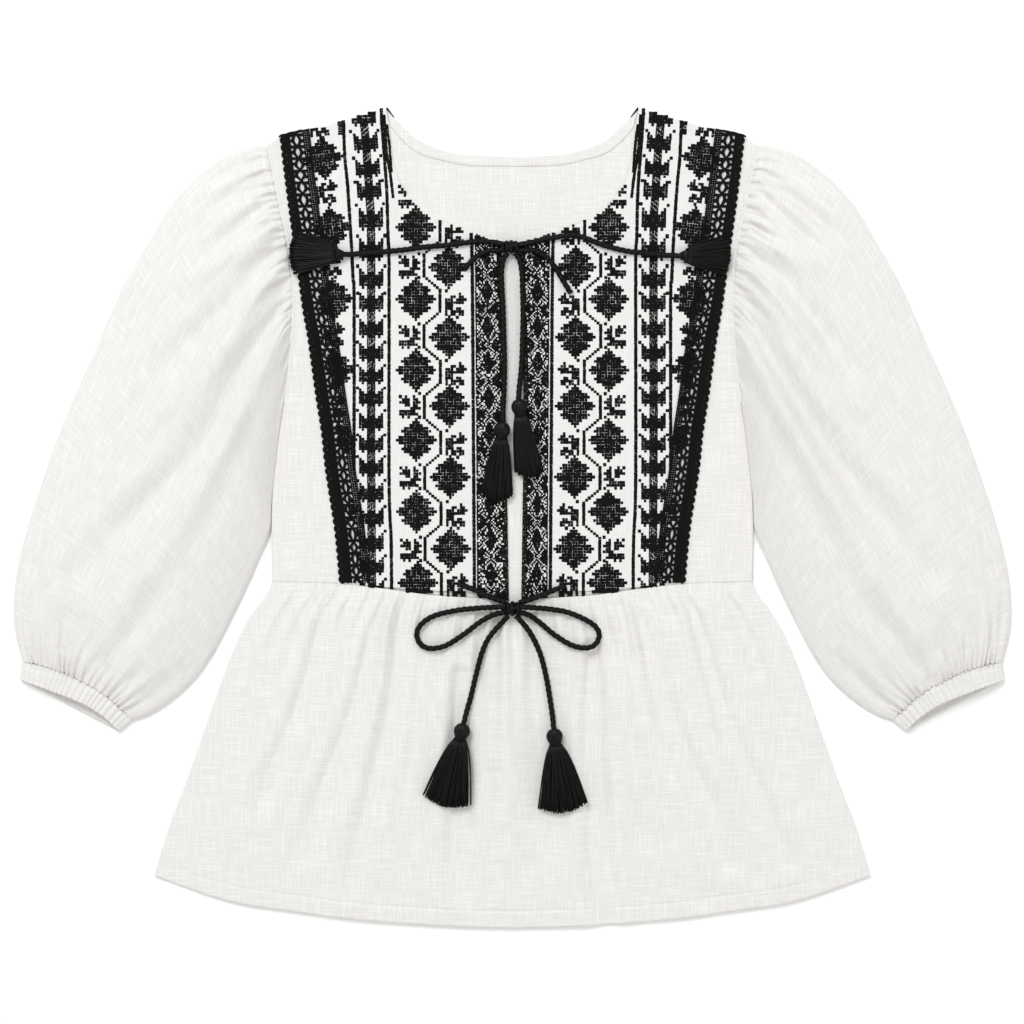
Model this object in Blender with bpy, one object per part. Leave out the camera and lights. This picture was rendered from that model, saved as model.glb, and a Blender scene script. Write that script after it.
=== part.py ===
"""Embroidered folk blouse, laid flat on its back with the sleeves spread.

The frame is in metres with +Z up. X runs across the blouse, +Y points to the neck, and the origin is under
the middle of the whole garment. The sizes below are in millimetres and are turned to metres in one place.
"Out" is the distance from the centre line and "up" is the distance towards the neck.
"""
import math
from collections import namedtuple
from functools import lru_cache

import bmesh
import bpy
import numpy as np

MM = 0.001

# Spacing of points: on a neck curve, beside a sleeve, on a long plain edge, and on the guide curves
SHOWN_STEP = 7.0
SLEEVE_SIDE_STEP = 9.0
PLAIN_STEP = 15.0
GUIDE_POINTS = 201

# Cloth
WALL = 1.5
SEAM = 0.3
REST = 0.3
TRIM_WALL = 1.2
FACING_WALL = 1.0
BACK_TOP = WALL
FRONT_LOW = BACK_TOP + REST
FRONT_TOP = FRONT_LOW + WALL
LACE_LOW = FRONT_TOP + REST
LACE_TOP = LACE_LOW + TRIM_WALL

# Bodice outline, (out, up)
SHOULDER_NECK = (103.6, 336.6)
SHOULDER_LINE = [SHOULDER_NECK, (146.0, 323.5), (171.0, 317.8), (189.7, 313.7), (202.0, 304.6)]
ARMHOLE = [(202.0, 304.6), (197.0, 280.0), (191.7, 254.0), (187.1, 231.7), (183.4, 209.5),
           (181.5, 185.0), (181.8, 161.0), (184.6, 122.0), (188.1, 90.6)]
BODY_SIDE = [(188.1, 90.6), (191.4, 68.5), (195.4, 34.0), (197.2, 12.0), (197.6, -11.0), (197.0, -52.9)]
BACK_NECK = [(0.0, 296.0), (28.2, 297.3), (45.4, 298.9), (63.5, 303.4), (76.6, 309.6), (85.6, 316.9),
             (93.0, 323.9), (103.6, 336.6)]
FACING_CORNER = (101.4, 334.9)
FACING_EDGE = [(0.0, 288.2), (36.4, 289.1), (59.0, 293.6), (76.6, 298.9), (90.2, 309.1), (99.6, 320.6)]
FRONT_NECK = [(103.6, 336.6), (101.0, 321.0), (99.5, 306.3), (97.9, 292.7), (95.4, 284.1), (90.1, 270.2),
              (81.5, 258.7), (72.5, 251.3), (63.5, 245.6), (54.4, 241.5), (40.5, 236.6), (33.0, 234.4)]
PLACKET_NECK = [(33.0, 234.4), (20.8, 229.6), (7.4, 227.0)]
PLACKET_LINE = [(33.0, 234.4), (32.6, 200.0), (31.6, 60.0), (30.9, -61.0)]
SLIT_EDGE = {"left": [(7.4, 227.0), (8.5, 211.0), (5.4, 96.0), (2.6, -67.0)],
             "right": [(7.4, 227.0), (6.0, 211.0), (8.9, 96.0), (7.1, -67.0)]}

# Crochet lace with one scalloped edge
LACE_EDGE = [(188.1, 315.0), (181.5, 260.3), (172.5, 194.8), (168.8, 168.5), (165.1, 148.0), (161.5, 121.8),
             (157.8, 95.5), (153.7, 69.3), (150.4, 38.1), (143.0, -10.2), (138.9, -53.8)]
LACE_WIDTH = 22.0
SCALLOP_PITCH = 5.7
SCALLOP_DEPTH = 2.4

# Sleeve outline, (out, up)
SLEEVE_OUTER = [(202.0, 304.6), (210.2, 305.4), (231.6, 298.5), (253.7, 284.1), (272.6, 266.1), (286.5, 247.2),
                (303.7, 217.7), (320.1, 188.2), (343.1, 136.1), (367.7, 80.0), (388.2, 23.0), (397.6, -7.0),
                (406.2, -41.4), (409.4, -73.4), (407.9, -95.5), (402.1, -118.5)]
SLEEVE_INNER = [(188.1, 90.6), (191.4, 68.5), (195.4, 34.0), (197.6, 12.0), (199.2, -11.0), (209.4, -35.7),
                (220.9, -61.9), (234.0, -88.2), (247.1, -112.8), (261.9, -133.3), (280.8, -150.5),
                (298.0, -161.5), (311.9, -166.5)]
CUFF_SEAM = [(402.1, -118.5), (386.0, -121.5), (366.9, -127.5), (337.3, -142.3), (318.5, -159.5),
             (311.9, -166.5)]
CUFF_FRONT = [(404.2, -133.3), (386.5, -139.0), (367.7, -145.6), (348.8, -153.8), (333.2, -164.4),
              (322.6, -175.9)]

# Sleeve form: share of the way down, height of the crown, height of the gathers
SleeveRow = namedtuple("SleeveRow", "down crown cap_gather cuff_gather")
SLEEVE_ROWS = [
    SleeveRow(0.00, 0.6, 0.5, 0.0),
    SleeveRow(0.03, 6.0, 1.5, 0.0),
    SleeveRow(0.07, 10.5, 2.0, 0.0),
    SleeveRow(0.12, 14.0, 1.8, 0.0),
    SleeveRow(0.19, 17.0, 1.0, 0.0),
    SleeveRow(0.28, 18.5, 0.4, 0.0),
    SleeveRow(0.39, 19.0, 0.0, 0.0),
    SleeveRow(0.51, 19.0, 0.0, 0.0),
    SleeveRow(0.63, 19.0, 0.0, 0.0),
    SleeveRow(0.75, 18.0, 0.0, 0.0),
    SleeveRow(0.85, 16.0, 0.0, 0.8),
    SleeveRow(0.94, 12.0, 0.0, 1.6),
    SleeveRow(1.00, 8.2, 0.0, 0.7),
]
CAP_GATHERS = 10
CUFF_GATHERS = 10
SLEEVE_STEPS = 40
UNDERSIDE_STEPS = 5
UNDERSIDE_SPREAD = 1.08
EDGE_HEIGHT = 4.2
CROWN_POWER = 2.6
EDGE_SHARE = 0.1
GATHER_REACH = 1.6
FOLD_REACH = 2.0
FOLD_CROWN = 6.0
CUFF_RIBS = 22
CUFF_CROWN = 7.4
RIB_HEIGHT = 0.35

# Peplum outline: half its width at each height, and its waist and hem lines by share of that half width
PEPLUM_SIDE = [(197.0, -52.9), (202.0, -64.4), (211.9, -76.7), (225.8, -102.1), (239.8, -138.2),
               (253.7, -178.0), (269.3, -221.8), (281.6, -253.8), (293.9, -294.0)]
WAIST_LINE = [(0.0, -69.6), (0.10, -66.8), (0.33, -63.6), (0.52, -58.6), (0.72, -54.4), (1.0, -52.9)]
HEM_LINE = [(0.0, -336.6), (0.17, -335.2), (0.42, -330.2), (0.60, -323.4), (0.79, -314.6), (1.0, -294.0)]
PeplumRow = namedtuple("PeplumRow", "down gather crown")
PEPLUM_ROWS = [
    PeplumRow(0.00, 0.7, 0.0),
    PeplumRow(0.06, 2.0, 1.5),
    PeplumRow(0.14, 1.5, 2.6),
    PeplumRow(0.27, 0.7, 3.0),
    PeplumRow(0.45, 0.2, 3.2),
    PeplumRow(0.70, 0.0, 2.8),
    PeplumRow(1.00, 0.0, 1.2),
]
WAIST_GATHERS = 28
STEPS_PER_GATHER = 3
BACK_STEPS = 24
BACK_SIDE_STEPS = 9
PEPLUM_EDGE_POWER = 6
PEPLUM_FOLD_START = 0.12

# Main folds: a path of (x, y) points, half its width, and how far it rises; a trough falls
Fold = namedtuple("Fold", "path width rise")
FOLD_POINTS = 14
FOLD_AT_START = 0.6
FOLD_AT_END = 0.4
FOLD_FADE = 0.4
SLEEVE_FOLDS = {
    "left": [
        Fold([(201, 278), (246, 254)], 6, -3.0),
        Fold([(199, 259), (256, 209)], 7, -3.5),
        Fold([(190, 236), (267, 195)], 9, 2.5),
        Fold([(189, 228), (229, 178), (287, 121)], 9, -4.0),
        Fold([(223, 148), (305, 66)], 10, 2.5),
        Fold([(184, 189), (229, 107), (267, 45), (355, -49)], 11, -6.5),
        Fold([(218, 91), (267, -5), (330, -79)], 10, 3.0),
        Fold([(367, -120), (361, -65)], 7, -3.0),
        Fold([(338, -133), (289, -65)], 9, -4.0),
        Fold([(314, -160), (267, -125)], 8, -3.0),
    ],
    "right": [
        Fold([(204, 282), (269, 228)], 6, -3.0),
        Fold([(198, 268), (247, 222)], 6, -3.5),
        Fold([(187, 230), (264, 200)], 9, 2.5),
        Fold([(190, 219), (228, 187), (277, 110)], 9, -4.0),
        Fold([(201, 197), (310, 58)], 9, 2.5),
        Fold([(187, 181), (223, 110), (283, 23), (338, -46)], 11, -6.5),
        Fold([(195, 143), (264, 4), (327, -98)], 10, 3.0),
        Fold([(338, -133), (291, -70)], 9, -4.0),
        Fold([(392, -114), (403, -73)], 7, -2.5),
        Fold([(310, -158), (269, -119)], 8, -3.0),
    ],
}
PEPLUM_FOLDS = [
    Fold([(-152, -68), (-170, -146), (-211, -240)], 8, -2.4),
    Fold([(-113, -72), (-125, -146), (-170, -273)], 9, -2.6),
    Fold([(-88, -72), (-100, -166), (-133, -305)], 8, -2.2),
    Fold([(-43, -130), (-43, -305)], 9, -2.6),
    Fold([(-3, -110), (-6, -273)], 12, 1.6),
    Fold([(66, -110), (66, -207), (76, -326)], 9, -3.2),
    Fold([(88, -130), (105, -240)], 12, 1.6),
    Fold([(105, -72), (129, -166), (178, -281)], 9, -2.6),
    Fold([(146, -68), (174, -166), (223, -281)], 9, -2.6),
    Fold([(178, -68), (211, -146), (248, -228)], 8, -2.2),
]

# Ties: black cord, with its routes as (x, y, lift above what it lies on)
CORD_THICK = 4.2
CORD_STEP = 10.5
CORD_REACH = 8.0
CORD_ROUNDNESS = 2
REACH_DIRECTIONS = 12
CORDS = {
    "neck_cord_arm_left": [(-6.5, 223.5, 1.0), (-14.0, 225.3, 0.3), (-23.3, 226.2, 0.0), (-33.1, 225.9, 0.0),
                           (-52.0, 223.4, 0.0), (-70.8, 221.8, 0.0), (-89.7, 219.3, 0.0),
                           (-106.9, 217.7, 0.0), (-125.0, 216.2, 0.4), (-137.0, 215.4, 1.5)],
    "neck_cord_arm_right": [(4.3, 223.3, 1.0), (12.0, 224.6, 0.3), (22.6, 227.1, 0.0), (34.9, 229.6, 0.0),
                            (46.0, 231.2, 0.0), (56.0, 230.4, 0.0), (74.3, 223.4, 0.0), (93.2, 218.5, 0.0),
                            (104.6, 217.2, 0.0), (122.0, 215.2, 0.4), (136.0, 214.2, 1.5)],
    "neck_cord_drop_left": [(-3.9, 217.0, 0.6), (-7.4, 211.0, 0.0), (-8.9, 201.3, 0.0), (-8.5, 187.4, 0.0),
                            (-7.7, 173.4, 0.0), (-7.3, 159.5, 0.0), (-6.9, 145.5, 0.0), (-6.5, 130.8, 0.0),
                            (-6.5, 116.8, 0.0), (-6.9, 102.9, 0.0), (-7.6, 89.8, 0.4), (-8.0, 77.4, 2.5)],
    "neck_cord_drop_right": [(2.0, 217.0, 0.6), (6.0, 211.0, 0.0), (7.9, 199.7, 0.0), (8.3, 187.4, 0.0),
                             (8.7, 173.4, 0.0), (8.7, 159.5, 0.0), (8.3, 145.5, 0.0), (7.9, 130.8, 0.0),
                             (6.9, 116.8, 0.0), (5.6, 106.0, 0.6), (5.0, 96.0, 2.5)],
    "neck_cord_end_left": [(-6.5, 219.2, 1.0), (-13.0, 219.0, 0.2), (-20.5, 218.2, 0.0), (-27.0, 215.4, 0.0),
                           (-33.5, 210.2, 0.0), (-38.8, 204.0, 0.0)],
    "neck_cord_end_right": [(4.3, 219.1, 1.0), (12.0, 219.0, 0.2), (19.0, 218.4, 0.0), (27.6, 213.6, 0.0),
                            (34.9, 205.4, 0.0), (42.3, 193.1, 0.0), (48.1, 183.7, 0.0)],
    "waist_cord_root_left": [(-45.0, -54.6, 0.0), (-38.0, -56.6, 0.0), (-31.5, -59.2, 0.0),
                             (-24.4, -62.4, 0.0), (-14.5, -66.6, 0.5), (-5.4, -69.6, 1.2)],
    "waist_cord_root_right": [(44.0, -56.0, 0.0), (38.2, -57.9, 0.0), (31.5, -60.6, 0.0), (24.6, -63.4, 0.0),
                              (14.8, -67.0, 0.5), (5.4, -69.8, 1.2)],
    "waist_cord_loop_left": [(-5.9, -73.0, 5.2), (-13.0, -73.2, 5.0), (-20.5, -73.6, 3.2), (-28.6, -74.2, 1.2),
                             (-45.4, -76.0, 0.0), (-64.3, -80.6, 0.0), (-74.9, -87.8, 0.0),
                             (-78.2, -95.7, 0.0), (-74.9, -103.7, 0.0), (-66.7, -107.2, 0.0),
                             (-54.0, -104.5, 0.0), (-39.7, -95.5, 0.0), (-26.0, -85.2, 0.4),
                             (-15.5, -79.6, 2.0), (-6.2, -77.2, 2.9)],
    "waist_cord_loop_right": [(5.9, -73.0, 5.2), (12.6, -73.3, 5.0), (20.0, -73.9, 3.2), (27.6, -74.6, 1.2),
                              (43.1, -77.0, 0.0), (57.5, -82.4, 0.0), (67.7, -89.0, 0.0), (71.0, -96.2, 0.0),
                              (67.7, -103.7, 0.0), (60.4, -106.6, 0.0), (48.9, -104.5, 0.0),
                              (34.9, -96.3, 0.0), (23.0, -86.4, 0.4), (14.4, -80.2, 2.0),
                              (6.2, -77.3, 2.9)],
    "waist_cord_drop_left": [(-3.4, -80.4, 1.6), (-8.2, -85.6, 0.3), (-13.6, -91.4, 0.0), (-20.2, -100.0, 0.0),
                             (-25.0, -111.0, 0.0), (-29.2, -126.7, 0.0), (-33.5, -144.7, 0.0),
                             (-37.2, -158.0, 0.6), (-39.9, -169.0, 2.5)],
    "waist_cord_drop_right": [(3.2, -80.4, 1.6), (7.8, -85.6, 0.3), (13.0, -92.0, 0.0), (18.4, -101.4, 0.0),
                              (23.6, -114.0, 0.0), (28.0, -132.0, 0.0), (31.0, -150.0, 0.0),
                              (32.8, -162.0, 0.6), (33.8, -173.2, 2.5)],
}
Knot = namedtuple("Knot", "name x y half_x half_y half_z")
KNOTS = [
    Knot("neck_knot", -1.1, 221.6, 4.9, 5.6, 4.4),
    Knot("waist_knot", 0.0, -74.4, 5.2, 6.2, 5.4),
]
KNOT_SIDES = 14
KNOT_RINGS = 8
KNOT_GROOVE = 0.07

# Tassels: where the cord ends, which way the skirt points in degrees, and the skirt's length and tip width
Tassel = namedtuple("Tassel", "name x y heading head skirt fan")
TASSELS = [
    Tassel("shoulder_tassel_left", -137.0, 215.4, 175.5, "tied", 37.5, 34.0),
    Tassel("shoulder_tassel_right", 136.0, 214.2, 2.0, "tied", 34.5, 31.0),
    Tassel("neck_tassel_left", -8.0, 77.4, 265.5, "ball", 51.5, 28.0),
    Tassel("neck_tassel_right", 5.0, 96.0, 278.5, "ball", 50.5, 25.0),
    Tassel("waist_tassel_left", -39.9, -169.0, 257.0, "ball", 54.0, 39.0),
    Tassel("waist_tassel_right", 33.8, -173.2, 277.0, "ball", 54.0, 40.0),
]
# Head sections: distance from the cord's end, half width, half height
HeadRow = namedtuple("HeadRow", "along half_wide half_high")
HEADS = {
    "ball": [HeadRow(0.8, 2.0, 2.0), HeadRow(2.4, 4.7, 4.3), HeadRow(5.8, 5.8, 5.0), HeadRow(9.2, 4.9, 4.4),
             HeadRow(11.0, 4.0, 4.0), HeadRow(13.0, 5.0, 4.4)],
    "tied": [HeadRow(0.7, 2.1, 2.1), HeadRow(3.0, 2.7, 2.6), HeadRow(7.0, 5.2, 3.2)],
}
STRANDS_WIDE = 6
STRANDS_HIGH = 3
STRAND_SHARE = 0.62
SKIRT_TIP_HEIGHT = 5.4
SKIRT_ROUNDING = 1.5
SKIRT_MARGIN = 1.0
SKIRT_TRIALS = 9
TIP_LENGTHS = (0.0, -2.2, -0.8, -3.0, -1.4)

# Finishes: colour, roughness
LINEN = ((0.905, 0.895, 0.870), 0.85)
COTTON = ((0.930, 0.925, 0.910), 0.80)
BLACK_THREAD = ((0.012, 0.012, 0.013), 0.75)
BLACK_CORD = ((0.010, 0.010, 0.011), 0.65)


def clear_scene():
    for item in list(bpy.data.objects):
        bpy.data.objects.remove(item, do_unlink=True)


def material_for(name, finish):
    """Each piece has a material of its own."""
    colour, roughness = finish
    material = bpy.data.materials.new(name)
    material.use_nodes = True
    shader = material.node_tree.nodes["Principled BSDF"]
    shader.inputs["Base Color"].default_value = (*colour, 1.0)
    shader.inputs["Roughness"].default_value = roughness
    shader.inputs["Metallic"].default_value = 0.0
    return material


def curve_points(points, count):
    """Evenly spaced points on a smooth curve through a few hand-chosen ones."""
    fine = 24
    known = np.array(points, float)
    ends = np.vstack([2 * known[0] - known[1], known, 2 * known[-1] - known[-2]])
    share = np.linspace(0, 1, fine, endpoint=False)[:, None]
    pieces = []
    for k in range(len(known) - 1):
        before, start, stop, after = ends[k:k + 4]
        pieces.append(0.5 * (2 * start + (stop - before) * share
                             + (2 * before - 5 * start + 4 * stop - after) * share ** 2
                             + (3 * start - before - 3 * stop + after) * share ** 3))
    path = np.vstack(pieces + [known[-1:]])
    steps = np.linalg.norm(np.diff(path[:, :2], axis=0), axis=1)
    length = np.concatenate([[0], np.cumsum(steps)])
    wanted = np.linspace(0, length[-1], count)
    return np.column_stack([np.interp(wanted, length, path[:, k]) for k in range(path.shape[1])])


def length_of(points):
    known = np.array(points, float)[:, :2]
    return float(np.linalg.norm(np.diff(known, axis=0), axis=1).sum())


def edge_points(points, step):
    """Points of an outline on a smooth curve, about one step apart."""
    count = max(3, int(round(length_of(points) / step)) + 1)
    return [tuple(point) for point in curve_points(points, count)]


def read_at(points, place, key, value):
    """Value of one column of a table of points where another column has a given value."""
    known = np.array(points, float)
    order = np.argsort(known[:, key])
    return np.interp(place, known[order, key], known[order, value])


def fold_rise(folds, x, y):
    """Height that the soft troughs and ridges add at points x, y; each fades out at both ends."""
    x = np.asarray(x, float)
    y = np.asarray(y, float)
    total = np.zeros(x.shape)
    for fold in folds:
        path = curve_points(fold.path, FOLD_POINTS)
        gap = np.hypot(x[..., None] - path[:, 0], y[..., None] - path[:, 1])
        nearest = gap.argmin(-1)
        along = nearest / (len(path) - 1)
        fade = np.clip(np.minimum(FOLD_AT_START + along / FOLD_FADE,
                                  FOLD_AT_END + (1 - along) / FOLD_FADE), 0, 1)
        total += fold.rise * fade * np.exp(-(gap.min(-1) / fold.width) ** 2)
    return total


def add_object(name, mesh, finish, smooth_angle=None):
    """Turns a bmesh in millimetres into one named object in metres."""
    bmesh.ops.recalc_face_normals(mesh, faces=mesh.faces)
    bmesh.ops.scale(mesh, vec=(MM, MM, MM), verts=mesh.verts)
    data = bpy.data.meshes.new(name)
    mesh.to_mesh(data)
    mesh.free()
    data.materials.append(material_for(name, finish))
    if smooth_angle is not None:
        data.shade_smooth()
        data.set_sharp_from_angle(angle=math.radians(smooth_angle))
    item = bpy.data.objects.new(name, data)
    bpy.context.scene.collection.objects.link(item)
    return item


def slab(name, outline, low, wall, finish):
    """A flat piece of cloth cut to an outline."""
    mesh = bmesh.new()
    corners = [mesh.verts.new((x, y, low)) for x, y in outline]
    face = mesh.faces.new(corners)
    raised = bmesh.ops.extrude_face_region(mesh, geom=[face])
    moved = [part for part in raised["geom"] if isinstance(part, bmesh.types.BMVert)]
    bmesh.ops.translate(mesh, vec=(0, 0, wall), verts=moved)
    wide = [part for part in mesh.faces if len(part.verts) > 4]
    bmesh.ops.triangulate(mesh, faces=wide)
    return add_object(name, mesh, finish)


def mirrored(points):
    return [(-x, y) for x, y in points]


def on_side(points, side):
    """Points given by their distance from the centre line, put on the left or right side."""
    sign = -1 if side == "left" else 1
    return [(sign * x, y) for x, y in points]


@lru_cache(maxsize=None)
def peplum_curves():
    """The peplum's side, waist and hem as smooth guide curves."""
    return [curve_points(line, GUIDE_POINTS) for line in (PEPLUM_SIDE, WAIST_LINE, HEM_LINE)]


def half_width(y):
    return read_at(peplum_curves()[0], y, 1, 0)


def waist_up(share):
    return read_at(peplum_curves()[1], share, 0, 1)


def hem_up(share):
    return read_at(peplum_curves()[2], share, 0, 1)


def waist_curve():
    """The waist seam from the centre line to the side, as (out, up)."""
    share = np.linspace(0, 1, GUIDE_POINTS)
    up = waist_up(share)
    return np.column_stack([share * half_width(up), up])


def waist_between(inner, outer):
    """Points on the bodice's lower edge, from one distance out to another."""
    curve = waist_curve()
    out = np.linspace(inner, outer, max(3, int(round((outer - inner) / PLAIN_STEP)) + 1))
    up = np.interp(out, curve[:, 0], curve[:, 1]) + SEAM
    return list(zip(out, up))


def join_line():
    """The seam between side piece and embroidered panel, which lies under the middle of the lace."""
    return [(x - LACE_WIDTH / 2, y) for x, y in edge_points(LACE_EDGE, PLAIN_STEP)]


def shoulder_up(out):
    return float(read_at(SHOULDER_LINE, out, 0, 1))


def make_back():
    side = edge_points(BODY_SIDE, SLEEVE_SIDE_STEP)
    half = edge_points(BACK_NECK, SHOWN_STEP) + SHOULDER_LINE[1:-1]
    half += edge_points(ARMHOLE, SLEEVE_SIDE_STEP) + side[1:-1]
    half += waist_between(0.0, side[-1][0])[::-1]
    whole = half + mirrored(half[1:-1])[::-1]
    slab("bodice_back", whole, 0.0, WALL, LINEN)


def make_facing():
    half = edge_points(BACK_NECK, SHOWN_STEP)[:-1] + [FACING_CORNER]
    half += edge_points(FACING_EDGE, SHOWN_STEP)[::-1]
    whole = half + mirrored(half[1:-1])[::-1]
    slab("back_neck_facing", whole, BACK_TOP + REST, FACING_WALL, LINEN)


def make_front(side):
    join = join_line()
    join_top = join[0][0]
    join_low = join[-1][0]
    shoulder = [point for point in SHOULDER_LINE if point[0] > join_top + SEAM]
    body = edge_points(BODY_SIDE, SLEEVE_SIDE_STEP)
    outline = [(join_top + SEAM, shoulder_up(join_top))]
    outline += shoulder[:-1] + edge_points(ARMHOLE, SLEEVE_SIDE_STEP) + body[1:-1]
    outline += waist_between(join_low + SEAM, body[-1][0])[::-1]
    outline += [(x + SEAM, y) for x, y in join[1:-1]][::-1]
    slab("front_side_" + side, on_side(outline, side), FRONT_LOW, WALL, LINEN)

    neck = edge_points(FRONT_NECK, SHOWN_STEP)
    line = edge_points(PLACKET_LINE, 4 * PLAIN_STEP)
    outline = [(join_top, shoulder_up(join_top))]
    outline += join[1:-1]
    outline += waist_between(line[-1][0] + SEAM, join_low)[::-1]
    outline += [(x + SEAM, y) for x, y in line[1:-1]][::-1]
    outline += [(neck[-1][0] + SEAM, neck[-1][1])] + neck[:-1][::-1]
    outline += [point for point in SHOULDER_LINE[1:] if point[0] < join_top]
    slab("embroidered_panel_" + side, on_side(outline, side), FRONT_LOW, WALL, COTTON)

    slit = edge_points(SLIT_EDGE[side], 2 * PLAIN_STEP)
    outline = edge_points(PLACKET_NECK, SHOWN_STEP) + slit[1:-1]
    outline += waist_between(slit[-1][0], line[-1][0]) + line[1:-1][::-1]
    slab("placket_band_" + side, on_side(outline, side), FRONT_LOW, WALL, BLACK_THREAD)


def make_lace(side):
    """A band on the join, scalloped on its outer edge."""
    count = int(round(length_of(LACE_EDGE) / SCALLOP_PITCH))
    edge = curve_points(LACE_EDGE, 2 * count + 1)
    outer = [(x + (SCALLOP_DEPTH if k % 2 else 0.0), y) for k, (x, y) in enumerate(edge)]
    inner = [(x - LACE_WIDTH, y) for x, y in edge_points(LACE_EDGE, 2 * PLAIN_STEP)]
    outer[0] = (outer[0][0], shoulder_up(outer[0][0]) - SEAM)
    inner[0] = (inner[0][0], shoulder_up(inner[0][0]) - SEAM)
    waist = waist_curve()
    outer[-1] = (outer[-1][0], float(np.interp(outer[-1][0], waist[:, 0], waist[:, 1])) + SEAM)
    inner[-1] = (inner[-1][0], float(np.interp(inner[-1][0], waist[:, 0], waist[:, 1])) + SEAM)
    slab("lace_trim_" + side, on_side(outer + inner[::-1], side), LACE_LOW, TRIM_WALL, BLACK_THREAD)


def ring_tube(name, outer_rings, inner_rings, finish):
    """A hollow piece of cloth from closed rings, open at both ends."""
    mesh = bmesh.new()
    outer = [[mesh.verts.new(point) for point in ring] for ring in outer_rings]
    inner = [[mesh.verts.new(point) for point in ring] for ring in inner_rings]
    count = len(outer[0])

    def band(first, second):
        for k in range(count):
            n = (k + 1) % count
            mesh.faces.new((first[k], first[n], second[n], second[k]))

    for k in range(len(outer) - 1):
        band(outer[k], outer[k + 1])
        band(inner[k + 1], inner[k])
    band(inner[0], outer[0])
    band(outer[-1], inner[-1])
    return add_object(name, mesh, finish, smooth_angle=50)


def sleeve_plan():
    """Place on the flat sleeve by share across, from the outer edge, and share down, from the cap."""
    cap = curve_points(ARMHOLE, GUIDE_POINTS)
    cap[:, 0] += SEAM
    seam = curve_points(CUFF_SEAM, GUIDE_POINTS)
    outer = curve_points(SLEEVE_OUTER, GUIDE_POINTS)
    inner = curve_points(SLEEVE_INNER, GUIDE_POINTS)
    inner[:, 0] += SEAM * np.linspace(1, 0, GUIDE_POINTS)
    outer[:, 0] += SEAM * np.linspace(1, 0, GUIDE_POINTS)
    shares = np.linspace(0, 1, GUIDE_POINTS)

    def at(curve, share):
        return np.array([np.interp(share, shares, curve[:, 0]), np.interp(share, shares, curve[:, 1])])

    def place(across, down):
        across_part = (1 - across) * at(outer, down) + across * at(inner, down)
        down_part = (1 - down) * at(cap, across) + down * at(seam, across)
        corners = ((1 - across) * (1 - down) * cap[0] + across * (1 - down) * cap[-1]
                   + (1 - across) * down * seam[0] + across * down * seam[-1])
        return across_part + down_part - corners

    return place


def edge_shares(place, down):
    """How far in from each edge the wall's inside starts, as a share across."""
    step = 0.002
    lower = max(0.0, down - step)
    upper = min(1.0, down + step)
    result = []
    for across, inward in ((0.0, step), (1.0, -step)):
        along = (place(across, upper) - place(across, lower)) / (upper - lower)
        into = (place(across + inward, down) - place(across, down)) / step
        area = abs(along[0] * into[1] - along[1] * into[0])
        if down == 0.0:
            share = WALL / np.linalg.norm(into)
        else:
            share = WALL * np.linalg.norm(along) / area
        result.append(min(float(share), EDGE_SHARE / 2))
    return result


def crown_shape(across):
    return 1 - abs(2 * across - 1) ** CROWN_POWER


def gather_wave(across, count):
    """Soft waves that die out at both edges."""
    return math.cos(2 * math.pi * count * across) * min(1.0, crown_shape(across) * GATHER_REACH)


def make_sleeve(side):
    place = sleeve_plan()
    folds = SLEEVE_FOLDS[side]
    outer_rings = []
    inner_rings = []
    for row in SLEEVE_ROWS:
        edge_out, edge_in = edge_shares(place, row.down)

        def top_height(across):
            x, y = place(across, row.down)
            shape = crown_shape(across)
            waves = row.cap_gather * gather_wave(across, CAP_GATHERS)
            waves += row.cuff_gather * gather_wave(across, CUFF_GATHERS)
            creases = float(fold_rise(folds, x, y)) * min(1.0, FOLD_REACH * shape)
            creases *= min(1.0, row.crown / FOLD_CROWN)
            return max(EDGE_HEIGHT, EDGE_HEIGHT + row.crown * shape + waves + creases)

        def inset(across):
            near_out = max(0.0, 1 - across / EDGE_SHARE)
            near_in = max(0.0, 1 - (1 - across) / EDGE_SHARE)
            return across + edge_out * near_out - edge_in * near_in

        outer = []
        inner = []
        for k in range(SLEEVE_STEPS + 1):
            across = k / SLEEVE_STEPS
            at_edge = k in (0, SLEEVE_STEPS)
            x, y = place(across, row.down)
            outer.append((x, y, EDGE_HEIGHT / 2 if at_edge else top_height(across)))
            x, y = place(inset(across), row.down)
            inner.append((x, y, EDGE_HEIGHT / 2 if at_edge else top_height(inset(across)) - WALL))
        for k in range(UNDERSIDE_STEPS):
            across = 1 - (k + 0.5) / UNDERSIDE_STEPS
            across = 0.5 + (across - 0.5) * UNDERSIDE_SPREAD
            x, y = place(across, row.down)
            outer.append((x, y, 0.0))
            x, y = place(inset(across), row.down)
            inner.append((x, y, WALL))
        sign = -1 if side == "left" else 1
        outer_rings.append([(sign * x, y, z) for x, y, z in outer])
        inner_rings.append([(sign * x, y, z) for x, y, z in inner])
    ring_tube("sleeve_" + side, outer_rings, inner_rings, LINEN)


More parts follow.
